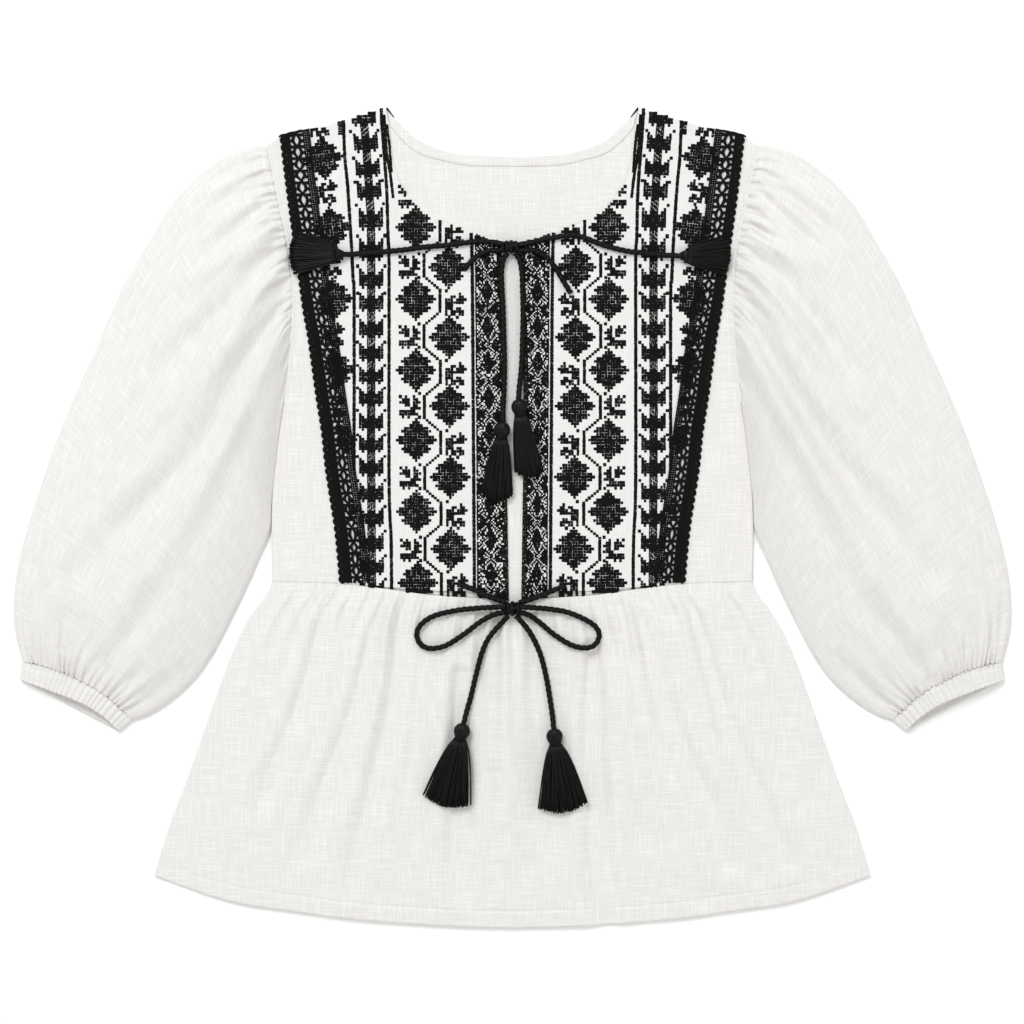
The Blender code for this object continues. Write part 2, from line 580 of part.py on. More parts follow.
def make_cuff(side):
    """Ribbed elastic cuff; its mouth stands a little open, so the inside of its back shows."""
    shares = np.linspace(0, 1, GUIDE_POINTS)
    seam = curve_points(CUFF_SEAM, GUIDE_POINTS)
    front = curve_points(CUFF_FRONT, GUIDE_POINTS)
    back = front[0] + (front[-1] - front[0]) * shares[:, None]
    towards = front - seam
    seam = seam + SEAM * towards / np.linalg.norm(towards, axis=1)[:, None]
    steps = 2 * CUFF_RIBS

    def at(curve, share):
        return np.array([np.interp(share, shares, curve[:, 0]), np.interp(share, shares, curve[:, 1])])

    chord = np.linalg.norm(front[-1] - front[0])
    edge = WALL / chord

    def ring(down):
        outer = []
        inner = []
        for k in range(steps + 1):
            across = k / steps
            at_edge = k in (0, steps)
            smooth_top = EDGE_HEIGHT + CUFF_CROWN * crown_shape(across)
            rib = RIB_HEIGHT * (1 if k % 2 else -1)
            x, y = (1 - down) * at(seam, across) + down * at(front, across)
            outer.append((x, y, EDGE_HEIGHT / 2 if at_edge else smooth_top + rib))
            inside = edge + across * (1 - 2 * edge)
            x, y = (1 - down) * at(seam, inside) + down * at(front, inside)
            inner.append((x, y, EDGE_HEIGHT / 2 if at_edge else smooth_top - RIB_HEIGHT - WALL))
        for k in range(UNDERSIDE_STEPS):
            across = 1 - (k + 0.5) / UNDERSIDE_STEPS
            across = 0.5 + (across - 0.5) * UNDERSIDE_SPREAD
            x, y = (1 - down) * at(seam, across) + down * at(back, across)
            outer.append((x, y, 0.0))
            inner.append((x, y, WALL))
        sign = -1 if side == "left" else 1
        return ([(sign * px, py, pz) for px, py, pz in outer], [(sign * px, py, pz) for px, py, pz in inner])

    rings = [ring(down) for down in (0.0, 0.5, 1.0)]
    ring_tube("cuff_" + side, [pair[0] for pair in rings], [pair[1] for pair in rings], LINEN)


def peplum_share(x, y):
    """Where a point lies on the peplum: share across and share down."""
    across = 0.5 + x / (2 * half_width(y))
    out = np.abs(2 * across - 1)
    top = waist_up(out)
    return across, (top - y) / (top - hem_up(out))


def peplum_top(x, y):
    """Height of the upper face of the peplum's front."""
    across, down = peplum_share(x, y)
    down = np.clip(down, 0, 1)
    rows = np.array(PEPLUM_ROWS)
    gather = np.interp(down, rows[:, 0], rows[:, 1])
    crown = np.interp(down, rows[:, 0], rows[:, 2])
    middle = 1 - np.abs(2 * across - 1) ** PEPLUM_EDGE_POWER
    waves = gather * (1 + np.cos(2 * math.pi * WAIST_GATHERS * across + math.pi))
    creases = fold_rise(PEPLUM_FOLDS, x, y) * np.clip(down / PEPLUM_FOLD_START, 0, 1)
    return np.maximum(FRONT_TOP, FRONT_TOP + (crown + waves + creases) * np.maximum(middle, 0))


def peplum_place(across, down):
    out = abs(2 * across - 1)
    top = float(waist_up(out))
    y = top + (float(hem_up(out)) - top) * down
    return (2 * across - 1) * float(half_width(y)), y


def make_peplum():
    """The front is gathered into the waist; the back lies flat under it."""
    mesh = bmesh.new()
    steps = WAIST_GATHERS * STEPS_PER_GATHER
    faces = []
    for lowered in (0.0, WALL):
        rows = []
        for row in PEPLUM_ROWS:
            verts = []
            for k in range(steps + 1):
                x, y = peplum_place(k / steps, row.down)
                verts.append(mesh.verts.new((x, y, float(peplum_top(x, y)) - lowered)))
            rows.append(verts)
        faces.append(rows)
    upper, lower = faces
    for k in range(len(PEPLUM_ROWS) - 1):
        for j in range(steps):
            mesh.faces.new((upper[k][j], upper[k + 1][j], upper[k + 1][j + 1], upper[k][j + 1]))
            mesh.faces.new((lower[k][j], lower[k][j + 1], lower[k + 1][j + 1], lower[k + 1][j]))
    rim = [upper[0][j] for j in range(steps)] + [row[-1] for row in upper[:-1]]
    rim += [upper[-1][j] for j in range(steps, 0, -1)] + [row[0] for row in upper[:0:-1]]
    low_rim = [lower[0][j] for j in range(steps)] + [row[-1] for row in lower[:-1]]
    low_rim += [lower[-1][j] for j in range(steps, 0, -1)] + [row[0] for row in lower[:0:-1]]
    for k in range(len(rim)):
        n = (k + 1) % len(rim)
        mesh.faces.new((rim[k], rim[n], low_rim[n], low_rim[k]))
    add_object("peplum_front", mesh, LINEN, smooth_angle=50)

    shares = np.linspace(0, 1, BACK_STEPS + 1)
    side_shares = np.linspace(0, 1, BACK_SIDE_STEPS + 1)[1:-1]
    waist = [peplum_place(share, 0.0) for share in shares]
    hem = [peplum_place(share, 1.0) for share in shares]
    right = [peplum_place(1.0, share) for share in side_shares]
    left = [peplum_place(0.0, share) for share in side_shares]
    slab("peplum_back", waist + right + hem[::-1] + left[::-1], 0.0, WALL, LINEN)


def cloth_top(x, y):
    """Height of the cloth under a point of a tie."""
    _, down = peplum_share(x, y)
    if down > 0:
        return float(peplum_top(x, y))
    lace = read_at(LACE_EDGE, y, 1, 0)
    if lace - LACE_WIDTH < abs(x) < lace + SCALLOP_DEPTH:
        return LACE_TOP
    return FRONT_TOP


def support(x, y, reach):
    """The highest cloth within reach of a point, because a cord bridges the dips."""
    heights = [cloth_top(x, y)]
    for k in range(REACH_DIRECTIONS):
        turn = 2 * math.pi * k / REACH_DIRECTIONS
        for share in (0.5, 1.0):
            heights.append(cloth_top(x + share * reach * math.cos(turn), y + share * reach * math.sin(turn)))
    return max(heights)


def make_cord(name, route):
    """One stretch of cord as a tube along a smooth curve."""
    radius = CORD_THICK / 2
    count = max(6, int(round(length_of(route) / CORD_STEP)) + 1)
    path = curve_points(route, count)
    data = bpy.data.curves.new(name, "CURVE")
    data.dimensions = "3D"
    data.bevel_depth = radius * MM
    data.bevel_resolution = CORD_ROUNDNESS
    data.use_fill_caps = True
    spline = data.splines.new("POLY")
    spline.points.add(count - 1)
    for point, (x, y, lift) in zip(spline.points, path):
        z = support(x, y, CORD_REACH if y < 0 else radius) + REST + radius + lift
        point.co = (x * MM, y * MM, z * MM, 1.0)
    data.materials.append(material_for(name, BLACK_CORD))
    item = bpy.data.objects.new(name, data)
    bpy.context.scene.collection.objects.link(item)


def make_knot(knot):
    """A tight round knot with shallow grooves where the turns of cord meet."""
    mesh = bmesh.new()
    bmesh.ops.create_uvsphere(mesh, u_segments=KNOT_SIDES, v_segments=KNOT_RINGS, radius=1.0)
    low = support(knot.x, knot.y, knot.half_x) + REST
    for vert in mesh.verts:
        x, y, z = vert.co
        groove = 1 - KNOT_GROOVE * (1 + math.cos(2 * math.atan2(y, x) + 2.5 * z)) * (1 - z * z)
        vert.co = (knot.x + knot.half_x * x * groove, knot.y + knot.half_y * y * groove,
                   low + knot.half_z * (1 + z))
    add_object(knot.name, mesh, BLACK_CORD, smooth_angle=60)


def disc_place(u, v):
    """A square grid's point moved onto a round section."""
    return u * math.sqrt(1 - v * v / 2), v * math.sqrt(1 - u * u / 2)


def make_tassel(tassel):
    """A bound head whose end carries the strands, which fan out and lie on the cloth."""
    mesh = bmesh.new()
    turn = math.radians(tassel.heading)
    forward = np.array([math.cos(turn), math.sin(turn), 0.0])
    sideways = np.array([-math.sin(turn), math.cos(turn), 0.0])
    upwards = np.array([0.0, 0.0, 1.0])
    root = np.array([tassel.x, tassel.y, 0.0])
    head = HEADS[tassel.head]
    end = head[-1]
    under_head = 0.0
    under_skirt = 0.0
    for share in np.linspace(0, 1, SKIRT_TRIALS):
        for side in (-1.0, -0.5, 0.0, 0.5, 1.0):
            place = root + forward * end.along * share + sideways * end.half_wide * side
            under_head = max(under_head, cloth_top(place[0], place[1]))
            wide = end.half_wide + (tassel.fan / 2 + SKIRT_MARGIN - end.half_wide) * share
            place = root + forward * (end.along + tassel.skirt * share) + sideways * wide * side
            under_skirt = max(under_skirt, cloth_top(place[0], place[1]))
    low = max(under_head, under_skirt) + REST
    head_middle = low + max(row.half_high for row in head)
    tip_middle = low + SKIRT_TIP_HEIGHT / 2

    grid = [(2 * i / STRANDS_WIDE - 1, 2 * j / STRANDS_HIGH - 1)
            for j in range(STRANDS_HIGH + 1) for i in range(STRANDS_WIDE + 1)]

    def index(i, j):
        return j * (STRANDS_WIDE + 1) + i

    border = [index(i, 0) for i in range(STRANDS_WIDE)]
    border += [index(STRANDS_WIDE, j) for j in range(STRANDS_HIGH)]
    border += [index(i, STRANDS_HIGH) for i in range(STRANDS_WIDE, 0, -1)]
    border += [index(0, j) for j in range(STRANDS_HIGH, 0, -1)]

    def point(u, v, along, wide, high, middle):
        across, above = disc_place(u, v)
        return root + forward * along + sideways * across * wide + upwards * (middle + above * high)

    rings = []
    for row in head[:-1]:
        ring = [mesh.verts.new(point(*grid[k], row.along, row.half_wide, row.half_high, head_middle))
                for k in border]
        rings.append(ring)
    cap = [mesh.verts.new(point(u, v, end.along, end.half_wide, end.half_high, head_middle)) for u, v in grid]
    rings.append([cap[k] for k in border])
    for first, second in zip(rings[:-1], rings[1:]):
        for k in range(len(border)):
            n = (k + 1) % len(border)
            mesh.faces.new((first[k], first[n], second[n], second[k]))
    mesh.faces.new(rings[0])

    for j in range(STRANDS_HIGH):
        for i in range(STRANDS_WIDE):
            cell = [cap[index(i, j)], cap[index(i + 1, j)], cap[index(i + 1, j + 1)], cap[index(i, j + 1)]]
            u = (2 * i + 1) / STRANDS_WIDE - 1
            v = (2 * j + 1) / STRANDS_HIGH - 1
            spare = TIP_LENGTHS[(2 * i + 3 * j) % len(TIP_LENGTHS)]
            last = cell
            for share in (0.0, 1.0):
                wide = end.half_wide + (tassel.fan / 2 - end.half_wide) * share
                high = end.half_high + (SKIRT_TIP_HEIGHT / 2 - end.half_high) * share
                middle = head_middle + (tip_middle - head_middle) * share
                along = end.along + (tassel.skirt + spare) * share - SKIRT_ROUNDING * share * u * u
                half_u = STRAND_SHARE / STRANDS_WIDE
                half_v = STRAND_SHARE / STRANDS_HIGH
                section = []
                for du, dv in ((-1, -1), (1, -1), (1, 1), (-1, 1)):
                    spot = point(u + du * half_u, v + dv * half_v, along, wide, high, middle)
                    section.append(mesh.verts.new(spot))
                for k in range(4):
                    n = (k + 1) % 4
                    mesh.faces.new((last[k], last[n], section[n], section[k]))
                last = section
            mesh.faces.new(last)
    add_object(tassel.name, mesh, BLACK_CORD)


def main():
    clear_scene()
    make_back()
    make_facing()
    for side in ("left", "right"):
        make_front(side)
        make_lace(side)
        make_sleeve(side)
        make_cuff(side)
    make_peplum()
    for knot in KNOTS:
        make_knot(knot)
    for name, route in CORDS.items():
        make_cord(name, route)
    for tassel in TASSELS:
        make_tassel(tassel)


main()
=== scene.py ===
import math
from collections import namedtuple

import bpy
import numpy as np
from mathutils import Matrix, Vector


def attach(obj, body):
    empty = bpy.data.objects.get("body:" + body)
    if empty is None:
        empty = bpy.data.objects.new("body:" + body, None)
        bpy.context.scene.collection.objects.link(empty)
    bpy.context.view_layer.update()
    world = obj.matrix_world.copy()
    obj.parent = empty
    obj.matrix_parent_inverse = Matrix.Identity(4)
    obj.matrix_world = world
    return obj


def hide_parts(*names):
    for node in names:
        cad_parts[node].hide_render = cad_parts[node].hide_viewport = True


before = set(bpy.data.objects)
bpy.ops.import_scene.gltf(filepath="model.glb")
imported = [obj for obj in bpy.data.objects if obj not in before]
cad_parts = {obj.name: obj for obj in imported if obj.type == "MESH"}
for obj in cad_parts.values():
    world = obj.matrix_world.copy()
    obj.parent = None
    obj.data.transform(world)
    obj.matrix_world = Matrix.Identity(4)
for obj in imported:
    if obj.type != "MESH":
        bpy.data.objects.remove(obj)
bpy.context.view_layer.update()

MM = 0.001
SIDES = ("left", "right")
UPWARDS = np.array([0.0, 0.0, 1.0])

# Camera: straight above, 1024 x 1024 frame, long lens
LENS = 85.0
SENSOR = 36.0
VIEW_WIDTH = 839.7
VIEW_CENTRE = (-0.3, 4.5)
VIEW_PLANE = 5.0

# Heights of the cloth, as in the part
WALL = 1.5
REST = 0.3
# The seams are drawn closed, only a trace apart
SEAM = 0.04
BACK_TOP = WALL
FRONT_LOW = 1.8
FRONT_TOP = 3.3
LACE_TOP = 4.8
FACING_LIFT = 0.8
# Edges of a cloth sheet: its underside, how far the edge rounds over, and how far it turns in below
UNDERSIDE = 0.05
EDGE_DROP = 0.35
TURN_IN = 2.5

# Bodice outline, (out, up)
SHOULDER_LINE = [(103.6, 336.6), (146, 323.5), (171, 317.8), (189.7, 313.7), (202, 304.6)]
ARMHOLE = [
    (202, 304.6), (197, 280), (191.7, 254), (187.1, 231.7), (183.4, 209.5), (181.5, 185), (181.8, 161),
    (184.6, 122), (188.1, 90.6)
]
BODY_SIDE = [(188.1, 90.6), (191.4, 68.5), (195.4, 34), (197.2, 12), (197.6, -11), (197, -52.9)]
BACK_NECK = [
    (0, 296), (28.2, 297.3), (45.4, 298.9), (63.5, 303.4), (76.6, 309.6), (85.6, 316.9), (93, 323.9),
    (103.6, 336.6)
]
FACING_EDGE = [(0, 288.2), (36.4, 289.1), (59, 293.6), (76.6, 298.9), (90.2, 309.1), (99.6, 320.6)]
FRONT_NECK = [
    (103.6, 336.6), (101, 321), (99.5, 306.3), (97.9, 292.7), (95.4, 284.1), (90.1, 270.2), (81.5, 258.7),
    (72.5, 251.3), (63.5, 245.6), (54.4, 241.5), (40.5, 236.6), (33, 234.4)
]
PLACKET_NECK = [(33, 234.4), (20.8, 229.6), (7.4, 227)]
PLACKET_LINE = [(33, 234.4), (32.6, 200), (31.6, 60), (30.9, -61)]
SLIT_EDGE = {"left": [(7.4, 227), (8.5, 211), (5.4, 96), (2.6, -67)],
             "right": [(7.4, 227), (6, 211), (8.9, 96), (7.1, -67)]}
LACE_EDGE = [
    (188.1, 315), (181.5, 260.3), (172.5, 194.8), (168.8, 168.5), (165.1, 148), (161.5, 121.8),
    (157.8, 95.5), (153.7, 69.3), (150.4, 38.1), (143, -10.2), (138.9, -53.8)
]
LACE_WIDTH = 22.0

# Sleeve and cuff outline, (out, up)
SLEEVE_OUTER = [
    (202, 304.6), (210.2, 305.4), (231.6, 298.5), (253.7, 284.1), (272.6, 266.1), (286.5, 247.2),
    (303.7, 217.7), (320.1, 188.2), (343.1, 136.1), (367.7, 80), (388.2, 23), (397.6, -7), (406.2, -41.4),
    (409.4, -73.4), (407.9, -95.5), (402.1, -118.5)
]
SLEEVE_INNER = [
    (188.1, 90.6), (191.4, 68.5), (195.4, 34), (197.6, 12), (199.2, -11), (209.4, -35.7), (220.9, -61.9),
    (234, -88.2), (247.1, -112.8), (261.9, -133.3), (280.8, -150.5), (298, -161.5), (311.9, -166.5)
]
CUFF_SEAM = [
    (402.1, -118.5), (386, -121.5), (366.9, -127.5), (337.3, -142.3), (318.5, -159.5), (311.9, -166.5)
]
CUFF_FRONT = [
    (404.2, -133.3), (386.5, -139), (367.7, -145.6), (348.8, -153.8), (333.2, -164.4), (322.6, -175.9)
]
SleeveRow = namedtuple("SleeveRow", "down crown")
SLEEVE_ROWS = [
    SleeveRow(0, 0.6), SleeveRow(0.03, 6), SleeveRow(0.07, 10.5), SleeveRow(0.12, 14), SleeveRow(0.19, 17),
    SleeveRow(0.28, 18.5), SleeveRow(0.39, 19), SleeveRow(0.63, 19), SleeveRow(0.75, 18),
    SleeveRow(0.85, 16), SleeveRow(0.94, 12), SleeveRow(1, 8.2)
]
EDGE_HEIGHT = 4.2
EDGE_ROUND = 4.0
CROWN_POWER = 2.6
# Half of the way round a sleeve, as the weave sees it
SLEEVE_HALF_ROUND = 175.0
# Gathers at a seam: where they start and stop as shares of its length, how many, their reach and their depth
Gathers = namedtuple("Gathers", "first last count reach depth")
CAP_GATHERS = Gathers(0.05, 0.70, 22, 0.068, 3.3)
UNDERARM_GATHERS = Gathers(0.70, 0.95, 5, 0.05, 1.5)
CUFF_GATHERS = Gathers(0.05, 0.95, 25, 0.085, 2.7)
SLEEVE_SEED = {"left": 11, "right": 23}
CUFF_RIBS = 22
CUFF_CROWN = 7.4
CUFF_WIDTH = 92.0
CUFF_ROWS = 13
CUFF_LONG = 15.0
RIB_RISE = 1.4

# Peplum outline
PEPLUM_SIDE = [
    (197, -52.9), (202, -64.4), (211.9, -76.7), (225.8, -102.1), (239.8, -138.2), (253.7, -178),
    (269.3, -221.8), (281.6, -253.8), (293.9, -294)
]
WAIST_LINE = [(0, -69.6), (0.10, -66.8), (0.33, -63.6), (0.52, -58.6), (0.72, -54.4), (1, -52.9)]
HEM_LINE = [(0, -336.6), (0.17, -335.2), (0.42, -330.2), (0.60, -323.4), (0.79, -314.6), (1, -294)]
PeplumRow = namedtuple("PeplumRow", "down gather crown")
PEPLUM_ROWS = [
    PeplumRow(0, 0.7, 0), PeplumRow(0.06, 2, 1.5), PeplumRow(0.14, 1.5, 2.6), PeplumRow(0.27, 0.7, 3),
    PeplumRow(0.45, 0.2, 3.2), PeplumRow(0.70, 0, 2.8), PeplumRow(1, 0, 1.2)
]
WAIST_GATHERS = 28
# The hem's line of stitches as a share of the way down, and the rows of points beside it
HEM_SEWN = 0.950
HEM_ROWS = (-0.008, -0.004, -0.002, 0.0, 0.002, 0.004, 0.008)

# Creases: a path of points, half its width, and its rise; a trough falls
Fold = namedtuple("Fold", "path width rise")
FOLD_STRENGTH = {"left": 0.98, "right": 1.32}
SLEEVE_FOLDS = {
    "left": [
        Fold([(207, 292), (242, 280)], 4, -1.8),
        Fold([(201, 278), (246, 254)], 5, -3.2),
        Fold([(199, 259), (256, 209)], 6, -3.4),
        Fold([(195, 247), (207, 236)], 4, -2.2),
        Fold([(190, 236), (267, 195)], 9, 2.4),
        Fold([(189, 228), (229, 178), (287, 121)], 8, -3.8),
        Fold([(223, 148), (305, 66)], 10, 2.6),
        Fold([(184, 189), (229, 107), (267, 45), (355, -49)], 10, -6.0),
        Fold([(303, 189), (303, 140)], 8, -1.6),
        Fold([(218, 91), (267, -5), (330, -79)], 9, 3.2),
        Fold([(367, -120), (361, -65)], 5, -2.4),
        Fold([(338, -133), (289, -65)], 8, -3.6),
        Fold([(349, -131), (335, -109)], 4, -2.0),
        Fold([(326, -147), (303, -125)], 4, -2.0),
        Fold([(314, -160), (267, -125)], 6, -2.6),
        Fold([(385, -79), (390, -24)], 8, -1.6),
    ],
    "right": [
        Fold([(204, 283), (269, 228)], 5, -2.8),
        Fold([(198, 269), (247, 222)], 5, -3.4),
        Fold([(193, 242), (215, 225)], 4, -2.4),
        Fold([(187, 230), (264, 200)], 8, 2.4),
        Fold([(190, 219), (228, 187), (277, 110)], 8, -3.8),
        Fold([(201, 198), (310, 58)], 8, 2.6),
        Fold([(187, 181), (223, 110), (283, 23), (338, -46)], 10, -6.0),
        Fold([(195, 143), (264, 4), (327, -98)], 9, 3.4),
        Fold([(338, -133), (291, -70)], 8, -3.6),
        Fold([(310, -158), (269, -119)], 6, -2.6),
        Fold([(392, -114), (403, -73)], 5, -2.2),
        Fold([(362, -126), (352, -92)], 5, -2.0),
    ],
}
PEPLUM_FOLDS = [
    Fold([(-152, -68), (-170, -146), (-211, -240)], 7, -2.2),
    Fold([(-113, -72), (-125, -146), (-170, -273)], 8, -2.4),
    Fold([(-88, -72), (-100, -166), (-133, -305)], 7, -2.0),
    Fold([(-43, -130), (-43, -305)], 8, -2.4),
    Fold([(-3, -110), (-6, -273)], 12, 1.6),
    Fold([(66, -110), (66, -207), (76, -326)], 8, -3.0),
    Fold([(88, -130), (105, -240)], 12, 1.6),
    Fold([(105, -72), (129, -166), (178, -281)], 8, -2.4),
    Fold([(146, -68), (174, -166), (223, -281)], 8, -2.4),
    Fold([(178, -68), (211, -146), (248, -228)], 7, -2.0),
]
PANEL_FOLDS = [
    Fold([(150, 300), (112, 250), (60, 190)], 14, -0.35),
    Fold([(100, 250), (80, 150), (86, 30)], 18, 0.3),
    Fold([(165, 60), (120, 20), (60, 10)], 16, -0.3),
]
BACK_FOLDS = [
    Fold([(0, 285), (0.5, 225)], 1.6, -0.35),
    Fold([(-60, 290), (-30, 240)], 14, -0.3),
    Fold([(70, 285), (30, 235)], 14, -0.25),
]

# Ties: routes as (x, y, lift above what the cord lies on), as in the part
CORD_THICK = 4.2
CORD_REACH = 8.0
CORD_POINTS_APART = 0.9
CORD_SIDES = 24
PLY_PITCH = 14.5
# A ply's valley and its ridge over the valley, as shares of the cord's radius
PLY_CORE = 0.70
PLY_SWELL = 0.44
CORDS = {
    "neck_cord_arm_left": [
        (-6.5, 223.5, 1), (-14, 225.3, 0.3), (-23.3, 226.2, 0), (-33.1, 225.9, 0), (-52, 223.4, 0),
        (-70.8, 221.8, 0), (-89.7, 219.3, 0), (-106.9, 217.7, 0), (-125, 216.2, 0.4), (-137, 215.4, 1.5)],
    "neck_cord_arm_right": [
        (4.3, 223.3, 1), (12, 224.6, 0.3), (22.6, 227.1, 0), (34.9, 229.6, 0), (46, 231.2, 0),
        (56, 230.4, 0), (74.3, 223.4, 0), (93.2, 218.5, 0), (104.6, 217.2, 0), (122, 215.2, 0.4),
        (136, 214.2, 1.5)],
    "neck_cord_drop_left": [
        (-3.9, 217, 0.6), (-7.4, 211, 0), (-8.9, 201.3, 0), (-8.5, 187.4, 0), (-7.7, 173.4, 0),
        (-7.3, 159.5, 0), (-6.9, 145.5, 0), (-6.5, 130.8, 0), (-6.5, 116.8, 0), (-6.9, 102.9, 0),
        (-7.6, 89.8, 0.4), (-8, 77.4, 2.5)],
    "neck_cord_drop_right": [
        (2, 217, 0.6), (6, 211, 0), (7.9, 199.7, 0), (8.3, 187.4, 0), (8.7, 173.4, 0), (8.7, 159.5, 0),
        (8.3, 145.5, 0), (7.9, 130.8, 0), (6.9, 116.8, 0), (5.6, 106, 0.6), (5, 96, 2.5)],
    "neck_cord_end_left": [
        (-6.5, 219.2, 1), (-13, 219, 0.2), (-20.5, 218.2, 0), (-27, 215.4, 0), (-33.5, 210.2, 0),
        (-38.8, 204, 0)],
    "neck_cord_end_right": [
        (4.3, 219.1, 1), (12, 219, 0.2), (19, 218.4, 0), (27.6, 213.6, 0), (34.9, 205.4, 0),
        (42.3, 193.1, 0), (48.1, 183.7, 0)],
    "waist_cord_root_left": [
        (-45, -54.6, 0), (-38, -56.6, 0), (-31.5, -59.2, 0), (-24.4, -62.4, 0), (-14.5, -66.6, 0.5),
        (-5.4, -69.6, 1.2)],
    "waist_cord_root_right": [
        (44, -56, 0), (38.2, -57.9, 0), (31.5, -60.6, 0), (24.6, -63.4, 0), (14.8, -67, 0.5),
        (5.4, -69.8, 1.2)],
    "waist_cord_loop_left": [
        (-5.9, -73, 5.2), (-13, -73.2, 5), (-20.5, -73.6, 3.2), (-28.6, -74.2, 1.2), (-45.4, -76, 0),
        (-64.3, -80.6, 0), (-74.9, -87.8, 0), (-78.2, -95.7, 0), (-74.9, -103.7, 0), (-66.7, -107.2, 0),
        (-54, -104.5, 0), (-39.7, -95.5, 0), (-26, -85.2, 0.4), (-15.5, -79.6, 2), (-6.2, -77.2, 2.9)],
    "waist_cord_loop_right": [
        (5.9, -73, 5.2), (12.6, -73.3, 5), (20, -73.9, 3.2), (27.6, -74.6, 1.2), (43.1, -77, 0),
        (57.5, -82.4, 0), (67.7, -89, 0), (71, -96.2, 0), (67.7, -103.7, 0), (60.4, -106.6, 0),
        (48.9, -104.5, 0), (34.9, -96.3, 0), (23, -86.4, 0.4), (14.4, -80.2, 2), (6.2, -77.3, 2.9)],
    "waist_cord_drop_left": [
        (-3.4, -80.4, 1.6), (-8.2, -85.6, 0.3), (-13.6, -91.4, 0), (-20.2, -100, 0), (-25, -111, 0),
        (-29.2, -126.7, 0), (-33.5, -144.7, 0), (-37.2, -158, 0.6), (-39.9, -169, 2.5)],
    "waist_cord_drop_right": [
        (3.2, -80.4, 1.6), (7.8, -85.6, 0.3), (13, -92, 0), (18.4, -101.4, 0), (23.6, -114, 0),
        (28, -132, 0), (31, -150, 0), (32.8, -162, 0.6), (33.8, -173.2, 2.5)],
}
# What is on the far end of each cord, and the tassel that hangs there
FAR_ENDS = {
    "neck_cord_arm_left": ("fitting", "shoulder_tassel_left"),
    "neck_cord_arm_right": ("fitting", "shoulder_tassel_right"),
    "neck_cord_drop_left": ("fitting", "neck_tassel_left"),
    "neck_cord_drop_right": ("fitting", "neck_tassel_right"),
    "neck_cord_end_left": ("bare", None),
    "neck_cord_end_right": ("bare", None),
    "waist_cord_root_left": ("object", None),
    "waist_cord_root_right": ("object", None),
    "waist_cord_loop_left": ("object", None),
    "waist_cord_loop_right": ("object", None),
    "waist_cord_drop_left": ("fitting", "waist_tassel_left"),
    "waist_cord_drop_right": ("fitting", "waist_tassel_right"),
}
Knot = namedtuple("Knot", "name x y half_x half_y half_z")
KNOTS = [Knot("neck_knot", -1.1, 221.6, 4.9, 5.6, 4.4), Knot("waist_knot", 0, -74.4, 5.2, 6.2, 5.4)]
Tassel = namedtuple("Tassel", "name x y heading head skirt fan")
TASSELS = [
    Tassel("shoulder_tassel_left", -137, 215.4, 177.5, "tied", 39, 37),
    Tassel("shoulder_tassel_right", 136, 214.2, 1, "tied", 36, 34),
    Tassel("neck_tassel_left", -8, 77.4, 265.5, "ball", 51.5, 28),
    Tassel("neck_tassel_right", 5, 96, 278.5, "ball", 50.5, 25),
    Tassel("waist_tassel_left", -39.9, -169, 257, "ball", 56.5, 43),
    Tassel("waist_tassel_right", 33.8, -173.2, 277, "ball", 56, 43.5),
]
HeadRow = namedtuple("HeadRow", "along half_wide half_high")
HEADS = {
    "ball": [HeadRow(-0.8, 1.9, 1.9), HeadRow(0.4, 4.3, 3.9), HeadRow(3.2, 6.1, 4.9), HeadRow(5.8, 6.5, 5),
             HeadRow(8.8, 5.8, 4.7), HeadRow(11, 4.2, 4), HeadRow(13, 5, 4.4)],
    "tied": [HeadRow(-0.8, 1.9, 1.9), HeadRow(3, 2.9, 2.6), HeadRow(7, 5.6, 3.2)],
}
SKIRT_TIP_HEIGHT = 5.4
STRANDS_WIDE = 27
STRANDS_HIGH = 4
STRAND_RADIUS = 0.64

# Motifs charted in cross stitches: # is a close stitch, o an open one that shows its needle holes,
# and . is bare cloth
STITCH_ACROSS = 2.24
STITCH_UP = 2.42
DIAMOND = [
    ".......#.......",
    "......###......",
    ".....#####.....",
    "...#########...",
    "..###########..",
    "...ooooooooo...",
    ".ooooooooooooo.",
    "###############",
    ".ooooooooooooo.",
    "...ooooooooo...",
    "..###########..",
    "...#########...",
    ".....#####.....",
    "......###......",
    ".......#.......",
]
LEAF_OUT = [
    ".......#",
    "#.#..#..",
    ".###.##.",
    "####.###",
    "..##.##.",
    "....####",
    "######..",
    "#######.",
    ".#.#...#",
]
LEAF_IN = [
    "#.......",
    ".....#..",
    "..##.##.",
    "###.####",
    "#######.",
    "###.....",
    "###.##..",
    "#.#####.",
    "#.##.##.",
    "....#...",
]
TREE = [
    "..#.......#..",
    "..##.###.##..",
    "..#########..",
    "..###ooo###..",
    "..###o#o###..",
    "..#########..",
    "...#.###.#...",
    ".............",
    ".#.........#.",
]
# Fine lattice of the placket, half of each row; the row runs on as a mirror image, and so do the rows
LATTICE_PITCH = 1.21
LATTICE_TOP = 233.5
LATTICE_LOW = -68.0
LATTICE_FIRST_ROW = 8
SLIT_TOP = 226.5
# How far stitches rise over the cloth
CROSS_RISE = 0.42
STEM_RISE = 0.45
LATTICE_RISE = 0.4
# Plain borders of the placket: black threads along the slit, and a gap for the seam
SLIT_BORDER = 3.4
SLIT_THREADS = 3
SEAM_BORDER = 2.0
LATTICE_HALF = [
    "#.#.#####",
    "#..######",
    "##.#.####",
    "#.##.####",
    "###.#.###",
    "##.##.###",
    "#.##.#.##",
    "###.##.##",
    "####.##.#",
    "#####.##.",
    "######.##",
    "#######.#",
    "######.##",
]

